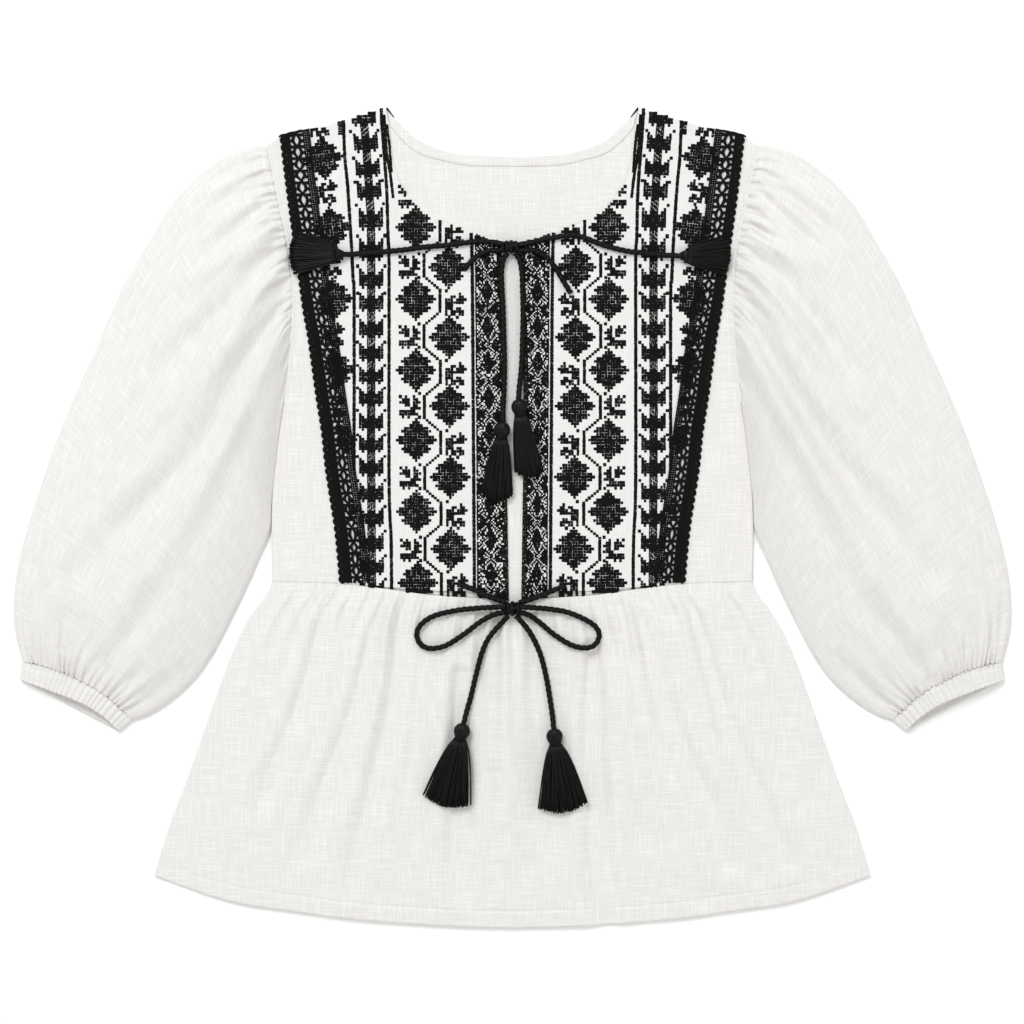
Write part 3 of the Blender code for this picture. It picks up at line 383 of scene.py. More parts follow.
# Where the motifs stand on one front, (out, up)
DIAMONDS_OUT = [(79.3, 238.2), (79.2, 179.2), (79.1, 120.9), (78.9, 63.5), (78.7, 4.8), (77.6, -53.7)]
DIAMONDS_IN = [(52.2, 205.4), (51.8, 148), (51.5, 91.4), (51, 33.2), (50.4, -25.8)]
LEAVES_OUT = [(84.8, 264.4), (84.5, 206.6), (84.3, 149.2), (84, 92), (83.7, 33.6), (83.2, -25.8)]
LEAVES_IN = [(46.6, 233.3), (46.4, 175.1), (46.2, 118), (46, 60.4), (45.5, 2.1), (45, -55.5)]
DIAMONDS_SIDE = [(155.3, 294.8), (148.7, 237.4), (147, 179.2), (145.6, 121), (144, 63), (142.4, 5)]
LEAVES_SIDE = [(157.5, 322.5), (152, 267.7), (147.3, 208), (145.8, 150.2), (144.4, 92)]
TREE_LINE = [(122, 326), (119.6, 300), (117.2, 262), (115.9, 227.6), (115.9, 60), (115.2, -62)]
TREE_UPS = [
    326.8, 305.3, 284.5, 266.3, 242.1, 217.1, 193.5, 174.3, 152.9, 133.3, 114.4, 96.4, 76.2, 58.3, 39.2,
    18.1, -2.2, -22.6, -42.2, -61.1
]
STEM_WIDTH = 7.0
STEM_THREADS = 5
# The winding line beside the diamonds: runs beside the outer ones and beside the inner ones
PATH_OUTER = 59.4
PATH_INNER = 72.5
PATH_RUN_UP = 9.0
PATH_PERIOD = 58.2
PATH_FIRST_UP = 236.0
PATH_DRIFT = 1.4
# Half width, half height and openness of a stitch of its straight runs and of its dotted slants
RUN_STITCH = (1.4, 1.1, 0.5)
DOT_STITCH = (1.3, 1.3, 1.0)
# Plain lines of stitches: points (out, up), width
StitchLine = namedtuple("StitchLine", "points width")
STITCH_LINES = [
    StitchLine([(138.6, 325), (138.1, 309.6), (137.3, 293.2), (135.6, 276.8), (134.4, 260.4), (132.3, 227.6),
                (130.7, 194.8), (129.9, 178.4), (129.9, 40)], 2.9),
    StitchLine([(107.6, 335), (107.3, 325.9), (106.1, 309.6), (103.6, 276.8), (102.8, 260.4), (102, 227.6),
                (101.2, 201.7), (101.2, 30.8), (99.5, -18.4), (99.1, -60)], 2.9),
    StitchLine([(105.2, 330), (103.2, 300), (100.2, 282), (97.9, 263)], 2.6),
    StitchLine([(102.9, 322), (101, 306), (99.2, 284)], 2.4),
    StitchLine([(141.4, 328), (140.6, 315)], 5),
]
PLACKET_SEAM = StitchLine([(33.9, 233), (32.9, 200), (31.9, 60), (31.1, -60)], 3.2)

# Colours in the photo, sRGB
LINEN_WHITE = "#F3F2F0"
LINEN_SHADE = "#E5E3E0"
COTTON_WHITE = "#ECECEB"
COTTON_SHADE = "#E4E3E2"
THREAD_BLACK = "#0A0A0A"
CORD_BLACK = "#050505"
# painted highlight: a dark grey mixed into the black threads by noise, standing in for the light their fibres
# catch
PAINTED_FIBRE_HIGHLIGHT = "#151413"
FLOOR_WHITE = "#FFFFFF"

# Weave in millimetres: how long the slubs run each way and how thick they are, and the size of the crumple
SLUB_LONG = (23.81, 26.32)
SLUB_THICK = 1.0
CRUMPLE = 16.67
# At scale 1 a wave texture repeats after this length
WAVE_REPEAT = 0.314

# Light: a soft key from the upper left, a weak fill from the right and a warm white sky
Lamp = namedtuple("Lamp", "name place size power")
LAMPS = [Lamp("key", (-1.3, 2.6, 4.1), 1.9, 118.0), Lamp("fill", (3.4, -1.2, 3.2), 3.4, 24.0)]
LAMP_TINT = (0.96, 0.98, 1.0)
SKY_TINT = (1.0, 0.985, 0.958, 1.0)
SKY_POWER = 0.70
FLOOR_HALF = 4.0
FLOOR_DROP = 0.0008

# Cut size of each sheet in metres, how it is held and what it lies on; those of a pair have their side added
Cut = namedtuple("Cut", "width length area held under")
CUTS = {
    "bodice_back": Cut(0.404, 0.410, 0.137, "laid", []),
    "back_neck_facing": Cut(0.240, 0.0102, 0.0024, "laid", ["bodice_back"]),
    "peplum_front": Cut(0.640, 0.290, 0.140, "gathered", ["peplum_back"]),
    "peplum_back": Cut(0.590, 0.285, 0.134, "laid", []),
}
PAIRED_CUTS = {
    "front_side": Cut(0.080, 0.375, 0.0165, "laid", ["bodice_back"]),
    "embroidered_panel": Cut(0.150, 0.405, 0.038, "laid", ["bodice_back"]),
    "placket_band": Cut(0.031, 0.304, 0.0076, "laid", ["bodice_back"]),
    "sleeve": Cut(0.420, 0.490, 0.150, "gathered", []),
    "cuff": Cut(0.250, 0.016, 0.0040, "gathered", []),
}


def curve_points(points, count):
    """Evenly spaced points on a smooth curve through a few given ones."""
    fine = 24
    known = np.array(points, float)
    ends = np.vstack([2 * known[0] - known[1], known, 2 * known[-1] - known[-2]])
    share = np.linspace(0, 1, fine, endpoint=False)[:, None]
    pieces = []
    for k in range(len(known) - 1):
        before, start, stop, after = ends[k:k + 4]
        pieces.append(0.5 * (2 * start + (stop - before) * share
                             + (2 * before - 5 * start + 4 * stop - after) * share ** 2
                             + (3 * start - before - 3 * stop + after) * share ** 3))
    path = np.vstack(pieces + [known[-1:]])
    return resampled(path, np.linspace(0, 1, count))


def resampled(path, shares):
    """Points of a path at given shares of its length in plan."""
    path = np.asarray(path, float)
    steps = np.linalg.norm(np.diff(path[:, :2], axis=0), axis=1)
    length = np.concatenate([[0], np.cumsum(steps)])
    wanted = np.asarray(shares) * length[-1]
    return np.column_stack([np.interp(wanted, length, path[:, k]) for k in range(path.shape[1])])


def length_of(points):
    steps = np.diff(np.asarray(points, float), axis=0)
    return float(np.linalg.norm(steps, axis=1).sum())


def smooth_line(points):
    return curve_points(points, 401)


def both_halves(curve):
    """A curve from the centre line outwards, with its mirror image before it."""
    curve = np.asarray(curve, float)
    return np.vstack([curve[::-1] * [-1, 1], curve[1:]])


def joined(first, second):
    """Two lines that share a point, each made smooth, as one curve."""
    return np.vstack([smooth_line(first), smooth_line(second)[1:]])


def even_turns(count):
    return 2 * math.pi * np.arange(count) / count


def read_at(curve, place, key, value):
    order = np.argsort(curve[:, key])
    return np.interp(place, curve[order, key], curve[order, value])


WAIST_CURVE = smooth_line(WAIST_LINE)
HEM_CURVE = smooth_line(HEM_LINE)
SIDE_CURVE = smooth_line(PEPLUM_SIDE)
LACE_CURVE = smooth_line(LACE_EDGE)


def half_width(y):
    return read_at(SIDE_CURVE, y, 1, 0)


def waist_curve():
    """The waist seam from the centre line to the side, as (out, up)."""
    share = np.linspace(0, 1, 401)
    up = read_at(WAIST_CURVE, share, 0, 1)
    return np.column_stack([share * half_width(up), up])


WAIST = waist_curve()


def waist_between(inner, outer):
    out = np.linspace(inner, outer, 120)
    return np.column_stack([out, np.interp(out, WAIST[:, 0], WAIST[:, 1]) + SEAM])


def shoulder_between(inner, outer):
    line = np.array(SHOULDER_LINE)
    out = np.linspace(inner, outer, 120)
    return np.column_stack([out, np.interp(out, line[:, 0], line[:, 1])])


def fold_rise(folds, x, y):
    """Height that the creases add; a trough has low shoulders, and each crease fades at both ends."""
    x = np.asarray(x, float)
    y = np.asarray(y, float)
    total = np.zeros(x.shape)
    for fold in folds:
        path = curve_points(fold.path, 18)
        gap = np.full(x.shape, 1e6)
        along = np.zeros(x.shape)
        for k in range(len(path) - 1):
            step = path[k + 1] - path[k]
            share = ((x - path[k, 0]) * step[0] + (y - path[k, 1]) * step[1]) / (step @ step)
            share = np.clip(share, 0, 1)
            here = np.hypot(x - path[k, 0] - share * step[0], y - path[k, 1] - share * step[1])
            closer = here < gap
            along = np.where(closer, (k + share) / (len(path) - 1), along)
            gap = np.where(closer, here, gap)
        fade = np.clip(np.minimum(0.6 + along / 0.4, 0.4 + (1 - along) / 0.4), 0, 1)
        spread = gap / (fold.width * (0.75 + 0.35 * along))
        shape = np.exp(-spread ** 2) - 0.3 * np.exp(-((spread - 2.1) / 0.8) ** 2)
        total += fold.rise * fade * shape
    return total


def soft_waves(x, y, size, height):
    """Low uneven waves of cloth at rest."""
    total = np.zeros(np.shape(x))
    for turn, scale, shift in ((0.4, 1.0, 0.3), (1.7, 0.73, 2.1), (2.6, 1.31, 4.4), (0.9, 0.55, 1.2)):
        total = total + np.sin((x * math.cos(turn) + y * math.sin(turn)) / (size * scale) + shift
                               + 0.8 * np.sin(y / (1.7 * size) + turn))
    return total * height / 4


def peplum_share(x, y):
    """Shares across the peplum and down it for a point."""
    across = 0.5 + x / (2 * half_width(y))
    out = np.abs(2 * across - 1)
    top = read_at(WAIST_CURVE, out, 0, 1)
    low = read_at(HEM_CURVE, out, 0, 1)
    return across, (top - y) / (top - low)


def peplum_top(x, y, detail=1.0):
    """Height of the peplum's upper face; detail 0 is the calm form that the ties and tassels lie on."""
    across, down = peplum_share(x, y)
    down = np.clip(down, 0, 1)
    rows = np.array(PEPLUM_ROWS)
    gather = np.interp(down, rows[:, 0], rows[:, 1])
    crown = np.interp(down, rows[:, 0], rows[:, 2])
    middle = np.maximum(1 - np.abs(2 * across - 1) ** 6, 0)
    uneven = 0.10 * np.sin(9 * across + 1.0) + 0.06 * np.sin(23 * across + 2.0)
    patchy = 0.45 * detail * np.sin(13.7 * across + 1.2) * np.sin(41.0 * across)
    strength = 0.8 + 0.2 * np.sin(31 * across + 3 * down) + patchy
    phase = 2 * math.pi * WAIST_GATHERS * across + math.pi + 17 * uneven * detail
    waves = gather * strength * (1 + np.cos(phase))
    fine = gather * 0.42 * np.cos(2 * math.pi * 71 * across + 5 * np.sin(17 * across)) * np.exp(-down / 0.08)
    creases = (1.25 + 1.3 * detail) * fold_rise(PEPLUM_FOLDS, x, y) * np.clip(down / 0.12, 0, 1)
    calm = soft_waves(x, y, 16, 0.5) * np.clip(down / 0.2, 0, 1)
    # The hem is double, with a dent where it is sewn
    past = down - HEM_SEWN
    calm += 0.35 * np.clip(past / 0.006, 0, 1) - 0.5 * np.exp(-(past / 0.004) ** 2)
    return np.maximum(FRONT_TOP, FRONT_TOP + (crown + waves + creases + (fine + calm) * detail) * middle)


def panel_top(x, y):
    """Height of the upper face of the bodice front, which lies almost flat."""
    return FRONT_TOP + fold_rise(PANEL_FOLDS, np.abs(x), y) + soft_waves(x, y, 22, 0.12)


def back_top(x, y):
    return BACK_TOP + 1.6 * fold_rise(BACK_FOLDS, x, y) + soft_waves(x, y, 20, 0.2)


def facing_top(x, y):
    return back_top(x, y) + FACING_LIFT


def cloth_top(x, y):
    """Height of the cloth under a point of a tie."""
    _, down = peplum_share(x, y)
    lace = read_at(LACE_CURVE, y, 1, 0)
    on_lace = (lace - LACE_WIDTH < abs(x)) & (abs(x) < lace + 2.4) & (down <= 0)
    flat = LACE_TOP if on_lace else FRONT_TOP
    return float(peplum_top(x, y, 0.0)) if down > 0 else flat


def support(x, y, reach):
    """The highest cloth within reach of a point, because a cord bridges the dips."""
    heights = [cloth_top(x, y)]
    for k in range(12):
        turn = 2 * math.pi * k / 12
        for share in (0.5, 1.0):
            heights.append(cloth_top(x + share * reach * math.cos(turn), y + share * reach * math.sin(turn)))
    return max(heights)


# Materials: each comes with the name of its record slot

Finish = namedtuple("Finish", "material slot")


def colour(code):
    """Linear colour of an sRGB hex value."""
    parts = [int(code[k:k + 2], 16) / 255 for k in (1, 3, 5)]
    linear = [part / 12.92 if part <= 0.04045 else ((part + 0.055) / 1.055) ** 2.4 for part in parts]
    return (*linear, 1.0)


def add_node(tree, kind, settings=None, links=None):
    """Adds a shader node with its settings and the links into it."""
    made = tree.nodes.new(kind)
    for name, value in (settings or {}).items():
        if isinstance(name, int) or name in made.inputs:
            made.inputs[name].default_value = value
        else:
            setattr(made, name, value)
    for name, source in (links or {}).items():
        tree.links.new(source, made.inputs[name])
    return made


def new_material(name, settings):
    """A material with the given values on its shader's sockets."""
    material = bpy.data.materials.new(name)
    material.use_nodes = True
    shader = material.node_tree.nodes["Principled BSDF"]
    for socket, value in settings.items():
        shader.inputs[socket].default_value = value
    return material, material.node_tree, shader


def woven(name, slot, light, shade, thread, slub, depth):
    """A plain weave in real size: fine threads both ways, and thicker slubs of uneven length."""
    material, tree, shader = new_material(name, {"Roughness": 0.92, "Specular IOR Level": 0.15,
                                                 "Sheen Weight": 0.12, "Sheen Roughness": 0.6})
    place = {"Vector": add_node(tree, "ShaderNodeUVMap", {"uv_map": "cloth"}).outputs[0]}
    streaks = []
    bands = []
    for way, direction in enumerate("XY"):
        scale = [1 / (SLUB_THICK * MM), 1 / (SLUB_THICK * MM), 1.0]
        scale[way] = 1 / (SLUB_LONG[way] * MM)
        moved = add_node(tree, "ShaderNodeMapping", {"Scale": scale, "Location": (3.1 * way, 1.7, 0.0)},
                         place)
        noise = add_node(tree, "ShaderNodeTexNoise", {"noise_dimensions": "2D", "Scale": 1.0, "Detail": 1.5,
                                                      "Roughness": 0.55}, {"Vector": moved.outputs[0]})
        thick = add_node(tree, "ShaderNodeMapRange", {"From Min": 0.47, "From Max": 0.70},
                         {"Value": noise.outputs[0]})
        streaks.append(thick.outputs[0])
        wave = add_node(tree, "ShaderNodeTexWave", {"bands_direction": direction, "Distortion": 0.6,
                                                    "Detail": 1.0, "Detail Scale": 0.6,
                                                    "Scale": WAVE_REPEAT / (thread * MM)}, place)
        bands.append(wave.outputs["Fac"])
    slubs, weave = [add_node(tree, "ShaderNodeMath", {"operation": "ADD"}, dict(enumerate(pair))).outputs[0]
                    for pair in (streaks, bands)]
    # What the eye sees first: faint lighter and darker threads, never a flat white
    tone = add_node(tree, "ShaderNodeMapRange", {"From Min": -0.3, "From Max": 1.3}, {"Value": slubs})
    ramp = add_node(tree, "ShaderNodeMix", {"data_type": "RGBA", 6: colour(shade), 7: colour(light)},
                    {0: tone.outputs[0]})
    tree.links.new(ramp.outputs[2], shader.inputs["Base Color"])
    height = add_node(tree, "ShaderNodeMath", {"operation": "MULTIPLY_ADD", 1: slub}, {0: slubs, 2: weave})
    crumple = add_node(tree, "ShaderNodeTexNoise", {"noise_dimensions": "2D", "Scale": 1 / (CRUMPLE * MM),
                                                    "Detail": 3.0, "Roughness": 0.45}, place)
    soft = add_node(tree, "ShaderNodeBump", {"Strength": 0.25, "Distance": 0.9 * MM},
                    {"Height": crumple.outputs[0]})
    bump = add_node(tree, "ShaderNodeBump", {"Strength": 0.5, "Distance": depth * MM},
                    {"Height": height.outputs[0], "Normal": soft.outputs[0]})
    tree.links.new(bump.outputs[0], shader.inputs["Normal"])
    return Finish(material, slot)


def spun_thread(name, slot, base, roughness, gloss, grain, depth):
    """Spun black thread: a lighter fibre tone mixed in at random by noise, a painted highlight for the light
    that fine fibres catch along the strand, with a little real gloss.
    """
    material, tree, shader = new_material(name, {"Roughness": roughness, "Specular IOR Level": gloss})
    place = add_node(tree, "ShaderNodeTexCoord").outputs["Object"]
    noise = add_node(tree, "ShaderNodeTexNoise", {"Scale": 1 / (grain * MM), "Detail": 3.0, "Roughness": 0.6},
                     {"Vector": place}).outputs[0]
    # The lighter tone mixed in here is a painted highlight, partly random fibre tone and partly the sheen of
    # the fibres
    tone = add_node(tree, "ShaderNodeMix", {"data_type": "RGBA", 6: colour(base), 7: colour(PAINTED_FIBRE_HIGHLIGHT)},
                    {0: noise})
    tree.links.new(tone.outputs[2], shader.inputs["Base Color"])
    bump = add_node(tree, "ShaderNodeBump", {"Strength": 0.6, "Distance": depth * MM}, {"Height": noise})
    tree.links.new(bump.outputs[0], shader.inputs["Normal"])
    return Finish(material, slot)


# slub linen: off-white, matt, with thicker threads showing both ways
SLUB_LINEN = woven("slub_linen_cloth", "slub_linen", LINEN_WHITE, LINEN_SHADE, 0.62, 0.68, 0.16)
# panel cotton: whiter and smoother, its weave hardly shows
PANEL_COTTON = woven("panel_cotton_cloth", "panel_cotton", COTTON_WHITE, COTTON_SHADE, 0.5, 0.6, 0.08)
# embroidery cotton: matt black, each stitch shows a faint grey painted highlight from the mixed-in fibre
# tone, and a little real gloss
STITCH_COTTON = spun_thread("embroidery_cotton", "black_embroidery", THREAD_BLACK, 0.75, 0.12, 0.35, 0.08)
# crochet cotton: matt black and a little fluffy
CROCHET_COTTON = spun_thread("crochet_cotton", "black_crochet", THREAD_BLACK, 0.8, 0.15, 0.3, 0.1)
# tie cord: tightly twisted, soft satin
TIE_CORD = spun_thread("tie_cord", "black_cord", CORD_BLACK, 0.45, 0.13, 0.3, 0.06)
# tassel floss: finer and a little glossier, so single strands show
TASSEL_FLOSS = spun_thread("tassel_floss", "black_tassel", CORD_BLACK, 0.4, 0.17, 0.25, 0.04)
# sewing cotton: the white of the seams, a little brighter than the cloth
SEWING_COTTON = woven("sewing_cotton", "slub_linen", COTTON_WHITE, LINEN_WHITE, 0.4, 0.3, 0.05)


# Mesh building

def show(item):
    bpy.context.scene.collection.objects.link(item)
    return item


def add_piece(name, verts, faces, finish, node=None, cloth=None, smooth=True):
    """One named object from points in millimetres; it rides on the blouse and may stand for a node of it."""
    data = bpy.data.meshes.new(name)
    data.from_pydata((np.asarray(verts, float) * MM).tolist(), [], faces)
    if cloth is not None:
        layer = data.uv_layers.new(name="cloth")
        index = np.zeros(len(data.loops), np.int32)
        data.loops.foreach_get("vertex_index", index)
        layer.data.foreach_set("uv", (np.asarray(cloth)[index] * MM).astype(np.float32).ravel())
    data.materials.append(finish.material)
    if smooth:
        data.shade_smooth()
    item = show(bpy.data.objects.new(name, data))
    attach(item, "root")
    if node:
        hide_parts(node)
    return item


def rings_round(path, turns, size, flat=1.0, closed=False):
    """Rings of points round a path, square to it; size is in an array that fits rings, points and places."""
    if closed:
        ahead = np.roll(path, -1, axis=0) - np.roll(path, 1, axis=0)
    else:
        ahead = np.gradient(path, axis=0)
    ahead /= np.maximum(np.linalg.norm(ahead, axis=1)[:, None], 1e-9)
    aside = np.cross(ahead, UPWARDS)
    aside[np.linalg.norm(aside, axis=1) < 1e-3] = [1.0, 0.0, 0.0]
    aside /= np.linalg.norm(aside, axis=1)[:, None]
    above = np.cross(aside, ahead)
    ring = (np.cos(turns)[None, :, None] * aside[:, None, :]
            + flat * np.sin(turns)[None, :, None] * above[:, None, :])
    return path[:, None, :] + size * ring


class Bundle:
    """Collects the points and faces of many small parts of one piece."""

    def __init__(self):
        self.verts = []
        self.faces = []
        self.count = 0

    def add(self, verts, faces):
        self.verts.append(np.asarray(verts, float))
        self.faces.extend((np.asarray(faces) + self.count).tolist())
        self.count += len(verts)

    def close_ends(self, rings, sides, outward=True):
        """Caps the first and the last ring of what was added last."""
        first = self.count - rings * sides + np.arange(sides)
        last = self.count - sides + np.arange(sides)
        self.faces += [cap.tolist() for cap in ((first[::-1], last) if outward else (first, last[::-1]))]

    def tube(self, path, radius, sides, closed=False, flat=1.0):
        """A round or flattened tube along a path; radius is one number or one for each point."""
        path = np.asarray(path, float)
        count = len(path)
        size = np.broadcast_to(np.asarray(radius, float), (count,))[:, None, None]
        first = np.arange(count if closed else count - 1)[:, None] * sides
        here = first + np.arange(sides)[None, :]
        beside = first + (np.arange(sides)[None, :] + 1) % sides
        total = count * sides
        quads = np.stack([here, beside, (beside + sides) % total, (here + sides) % total], axis=-1)
        rings = rings_round(path, even_turns(sides), size, flat, closed)
        self.add(rings.reshape(-1, 3), quads.reshape(-1, 4))
        if not closed:
            self.close_ends(count, sides)

    def piece(self, name, finish, **more):
        return add_piece(name, np.vstack(self.verts), self.faces, finish, **more)


def grid_faces(rows, cols, wrap=False):
    """Quads between the points of a grid; wrap joins the last column to the first."""
    row = np.arange(rows - 1)[:, None] * cols
    col = np.arange(cols if wrap else cols - 1)[None, :]
    after = (col + 1) % cols
    return np.stack([row + col, row + cols + col, row + cols + after, row + after], -1).reshape(-1, 4)


def coons(top, low, first, last, across, down):
    """Points of a cloth piece between its four edges, at shares across and shares down."""
    corners = [np.asarray(edge, float)[end] for edge in (top, low) for end in (0, -1)]
    top, low = resampled(top, across), resampled(low, across)
    first, last = resampled(first, down), resampled(last, down)
    a = np.asarray(across)[None, :, None]
    d = np.asarray(down)[:, None, None]
    between = (1 - a) * first[:, None, :] + a * last[:, None, :] + (1 - d) * top[None] + d * low[None]
    twice = ((1 - a) * (1 - d) * corners[0] + a * (1 - d) * corners[1]
             + (1 - a) * d * corners[2] + a * d * corners[3])
    return between - twice


def shares(count, edge=0.0025):
    """Even shares from 0 to 1, with one more close to each edge for its rounding."""
    return np.concatenate([[0.0, edge], np.linspace(0, 1, count)[1:-1], [1.0 - edge, 1.0]])


def cloth_sheet(name, node, plan, top, low, finish):
    """A sheet of cloth whose edges are rounded, go down to its underside and turn in."""
    rows, cols = plan.shape[:2]
    z = top(plan[..., 0], plan[..., 1]).copy()
    z[[0, -1]] -= EDGE_DROP
    z[:, [0, -1]] -= EDGE_DROP
    verts = np.dstack([plan, z]).reshape(-1, 3)
    faces = grid_faces(rows, cols).tolist()
    rim = [(0, j) for j in range(cols)] + [(i, cols - 1) for i in range(1, rows)]
    rim += [(rows - 1, j) for j in range(cols - 2, -1, -1)] + [(i, 0) for i in range(rows - 2, 0, -1)]
    outer = np.array([i * cols + j for i, j in rim])
    inward = np.array([min(max(i, 3), rows - 4) * cols + min(max(j, 3), cols - 4) for i, j in rim])
    edge = verts[outer].copy()
    edge[:, 2] = low
    into = verts[inward, :2] - edge[:, :2]
    into /= np.maximum(np.linalg.norm(into, axis=1)[:, None], 1e-6)
    turned = edge.copy()
    turned[:, :2] += TURN_IN * into
    under = len(verts) + np.arange(len(rim))
    for high, lower in ((outer, under), (under, under + len(rim))):
        faces += np.stack([high, np.roll(high, -1), np.roll(lower, -1), lower], -1).tolist()
    verts = np.vstack([verts, edge, turned])
    return add_piece(name, verts, faces, finish, node, cloth=verts[:, :2])


def sided(points, side):
    """Points given by their distance from the centre line, put on the left or right side."""
    points = np.array(points, float)
    points[..., 0] *= -1 if side == "left" else 1
    return points


def edge_round(across, width):
    """How far the rounding of a flat tube's edge has risen: 0 at the edge and 1 past it."""
    edge = np.minimum(1, np.minimum(across, 1 - across) * width / EDGE_ROUND)
    return np.sqrt(1 - (1 - edge) ** 2)


def tube_underside(across, width):
    """Height of the underside of a flat tube of cloth, which rises at both edges."""
    return UNDERSIDE + (EDGE_HEIGHT / 2 - UNDERSIDE) * (1 - edge_round(across, width))


def tube_piece(name, node, ring, side, across, along, closed=False):
    """A tube of linen from rings of points; across and along say where they lie on the flat cloth."""
    rows, cols = ring.shape[:2]
    faces = grid_faces(rows, cols, wrap=True)
    if closed:
        here = np.arange(cols)
        after = (here + 1) % cols
        last = (rows - 1) * cols
        faces = np.vstack([faces, np.column_stack([last + here, here, after, last + after])])
    if side == "left":
        faces = faces[:, ::-1]
    cloth = np.dstack(np.meshgrid(across, along)).reshape(-1, 2)
    return add_piece(name, sided(ring, side).reshape(-1, 3), faces.tolist(), SLUB_LINEN, node, cloth=cloth)


# Camera, light and floor

def make_camera():
    camera = show(bpy.data.objects.new("camera", bpy.data.cameras.new("camera")))
    camera.data.lens = LENS
    camera.data.sensor_width = SENSOR
    height = VIEW_PLANE + VIEW_WIDTH * LENS / SENSOR
    camera.location = (VIEW_CENTRE[0] * MM, VIEW_CENTRE[1] * MM, height * MM)
    bpy.context.scene.camera = camera
    bpy.context.scene.view_settings.view_transform = "Standard"


def make_light():
    world = bpy.data.worlds.new("studio")
    world.use_nodes = True
    sky = world.node_tree.nodes["Background"]
    sky.inputs[0].default_value = SKY_TINT
    sky.inputs[1].default_value = SKY_POWER
    bpy.context.scene.world = world
    for lamp in LAMPS:
        light = show(bpy.data.objects.new(lamp.name, bpy.data.lights.new(lamp.name, "AREA")))
        light.data.size = lamp.size
        light.data.energy = lamp.power
        light.data.color = LAMP_TINT
        light.location = lamp.place
        light.rotation_euler = (-Vector(lamp.place)).to_track_quat("-Z", "Y").to_euler()


def make_floor():
    # studio paper: smooth and white
    paper, _, _ = new_material("studio_paper", {"Base Color": colour(FLOOR_WHITE), "Roughness": 0.9,
                                                "Specular IOR Level": 0.1})
    corners = [(-FLOOR_HALF, -FLOOR_HALF), (FLOOR_HALF, -FLOOR_HALF), (FLOOR_HALF, FLOOR_HALF),
               (-FLOOR_HALF, FLOOR_HALF)]
    data = bpy.data.meshes.new("floor")
    data.from_pydata([(x, y, -FLOOR_DROP) for x, y in corners], [], [(0, 1, 2, 3)])
    data.materials.append(paper)
    show(bpy.data.objects.new("floor", data))


# Ties

def cord_path(name):
    """The cord's centreline in millimetres, lying on the cloth."""
    count = int(round(length_of(np.array(CORDS[name])[:, :2]) / CORD_POINTS_APART)) + 1
    path = curve_points(CORDS[name], count)
    radius = CORD_THICK / 2
    rough = resampled(path, np.linspace(0, 1, max(6, count // 8)))
    height = [support(x, y, CORD_REACH if y < 0 else radius) + REST + radius for x, y, _ in rough]
    share = np.linspace(0, 1, count)
    lying = np.interp(share, np.linspace(0, 1, len(rough)), height)
    return np.column_stack([path[:, 0], path[:, 1], lying + path[:, 2]])


def make_rope(name, path):
    """A rope of three plies: its section has three lobes that turn along it."""
    run = np.concatenate([[0], np.cumsum(np.linalg.norm(np.diff(path, axis=0), axis=1))])
    turns = even_turns(CORD_SIDES)
    phase = turns[None, :] - 2 * math.pi * run[:, None] / PLY_PITCH
    size = CORD_THICK / 2 * (PLY_CORE + PLY_SWELL * np.abs(np.cos(1.5 * phase)) ** 0.7)
    bundle = Bundle()
    bundle.add(rings_round(path, turns, size[..., None]).reshape(-1, 3),
               grid_faces(len(path), CORD_SIDES, wrap=True)[:, ::-1])
    bundle.close_ends(len(path), CORD_SIDES)
    return bundle.piece(name + "_rope", TIE_CORD, node=name)


def make_knot(knot):
    """Turns of cord drawn tight round each other."""
    bundle = Bundle()
    radius = CORD_THICK / 2 * 0.9
    low = support(knot.x, knot.y, knot.half_x) + REST
    middle = np.array([knot.x, knot.y, low + knot.half_z])
    turn = even_turns(40)
    reach = knot.half_x - 1.2
    for offset, tilt, grow in ((-reach, 0.6, 0.9), (0.2, -0.6, 1.0), (reach, 0.48, 0.86)):
        ring = np.column_stack([offset + tilt * np.sin(turn), (knot.half_y - radius) * grow * np.cos(turn),
                                (knot.half_z - radius) * grow * np.sin(turn)])
        bundle.tube(middle + ring, radius, 12, closed=True)
    over = np.linspace(-1, 1, 17)
    arc = np.column_stack([(knot.half_x - 1.0) * over, 1.3 * over,
                           (knot.half_z - radius * 0.7) * np.sqrt(np.maximum(1 - 0.9 * over ** 2, 0))])
    bundle.tube(middle + arc, radius * 0.9, 12)
    return bundle.piece(knot.name + "_turns", TIE_CORD, node=knot.name)


def tassel_frame(tassel):
    """Where a tassel hangs, the way it points and the way across it."""
    turn = math.radians(tassel.heading)
    return (np.array([tassel.x, tassel.y, 0.0]), np.array([math.cos(turn), math.sin(turn), 0.0]),
            np.array([-math.sin(turn), math.cos(turn), 0.0]))


def tassel_heights(tassel):
    """Height of the middle of the head and of the strands' ends, clear of the cloth."""
    root, forward, sideways = tassel_frame(tassel)
    end = HEADS[tassel.head][-1]
    low = 0.0
    for share in np.linspace(0, 1, 9):
        wide = end.half_wide + (tassel.fan / 2 + 1.0 - end.half_wide) * share
        for side in (-1.0, -0.5, 0.0, 0.5, 1.0):
            for along, reach in ((end.along + tassel.skirt * share, wide),
                                 (end.along * share, end.half_wide)):
                x, y, _ = root + forward * along + sideways * reach * side
                low = max(low, cloth_top(x, y))
    low += REST
    return low + max(row.half_high for row in HEADS[tassel.head]), low + SKIRT_TIP_HEIGHT / 2


def oval(turns, wide, high, sideways):
    """Points of an oval ring across a tassel."""
    return np.outer(np.cos(turns) * wide, sideways) + np.outer(np.sin(turns) * high, UPWARDS)


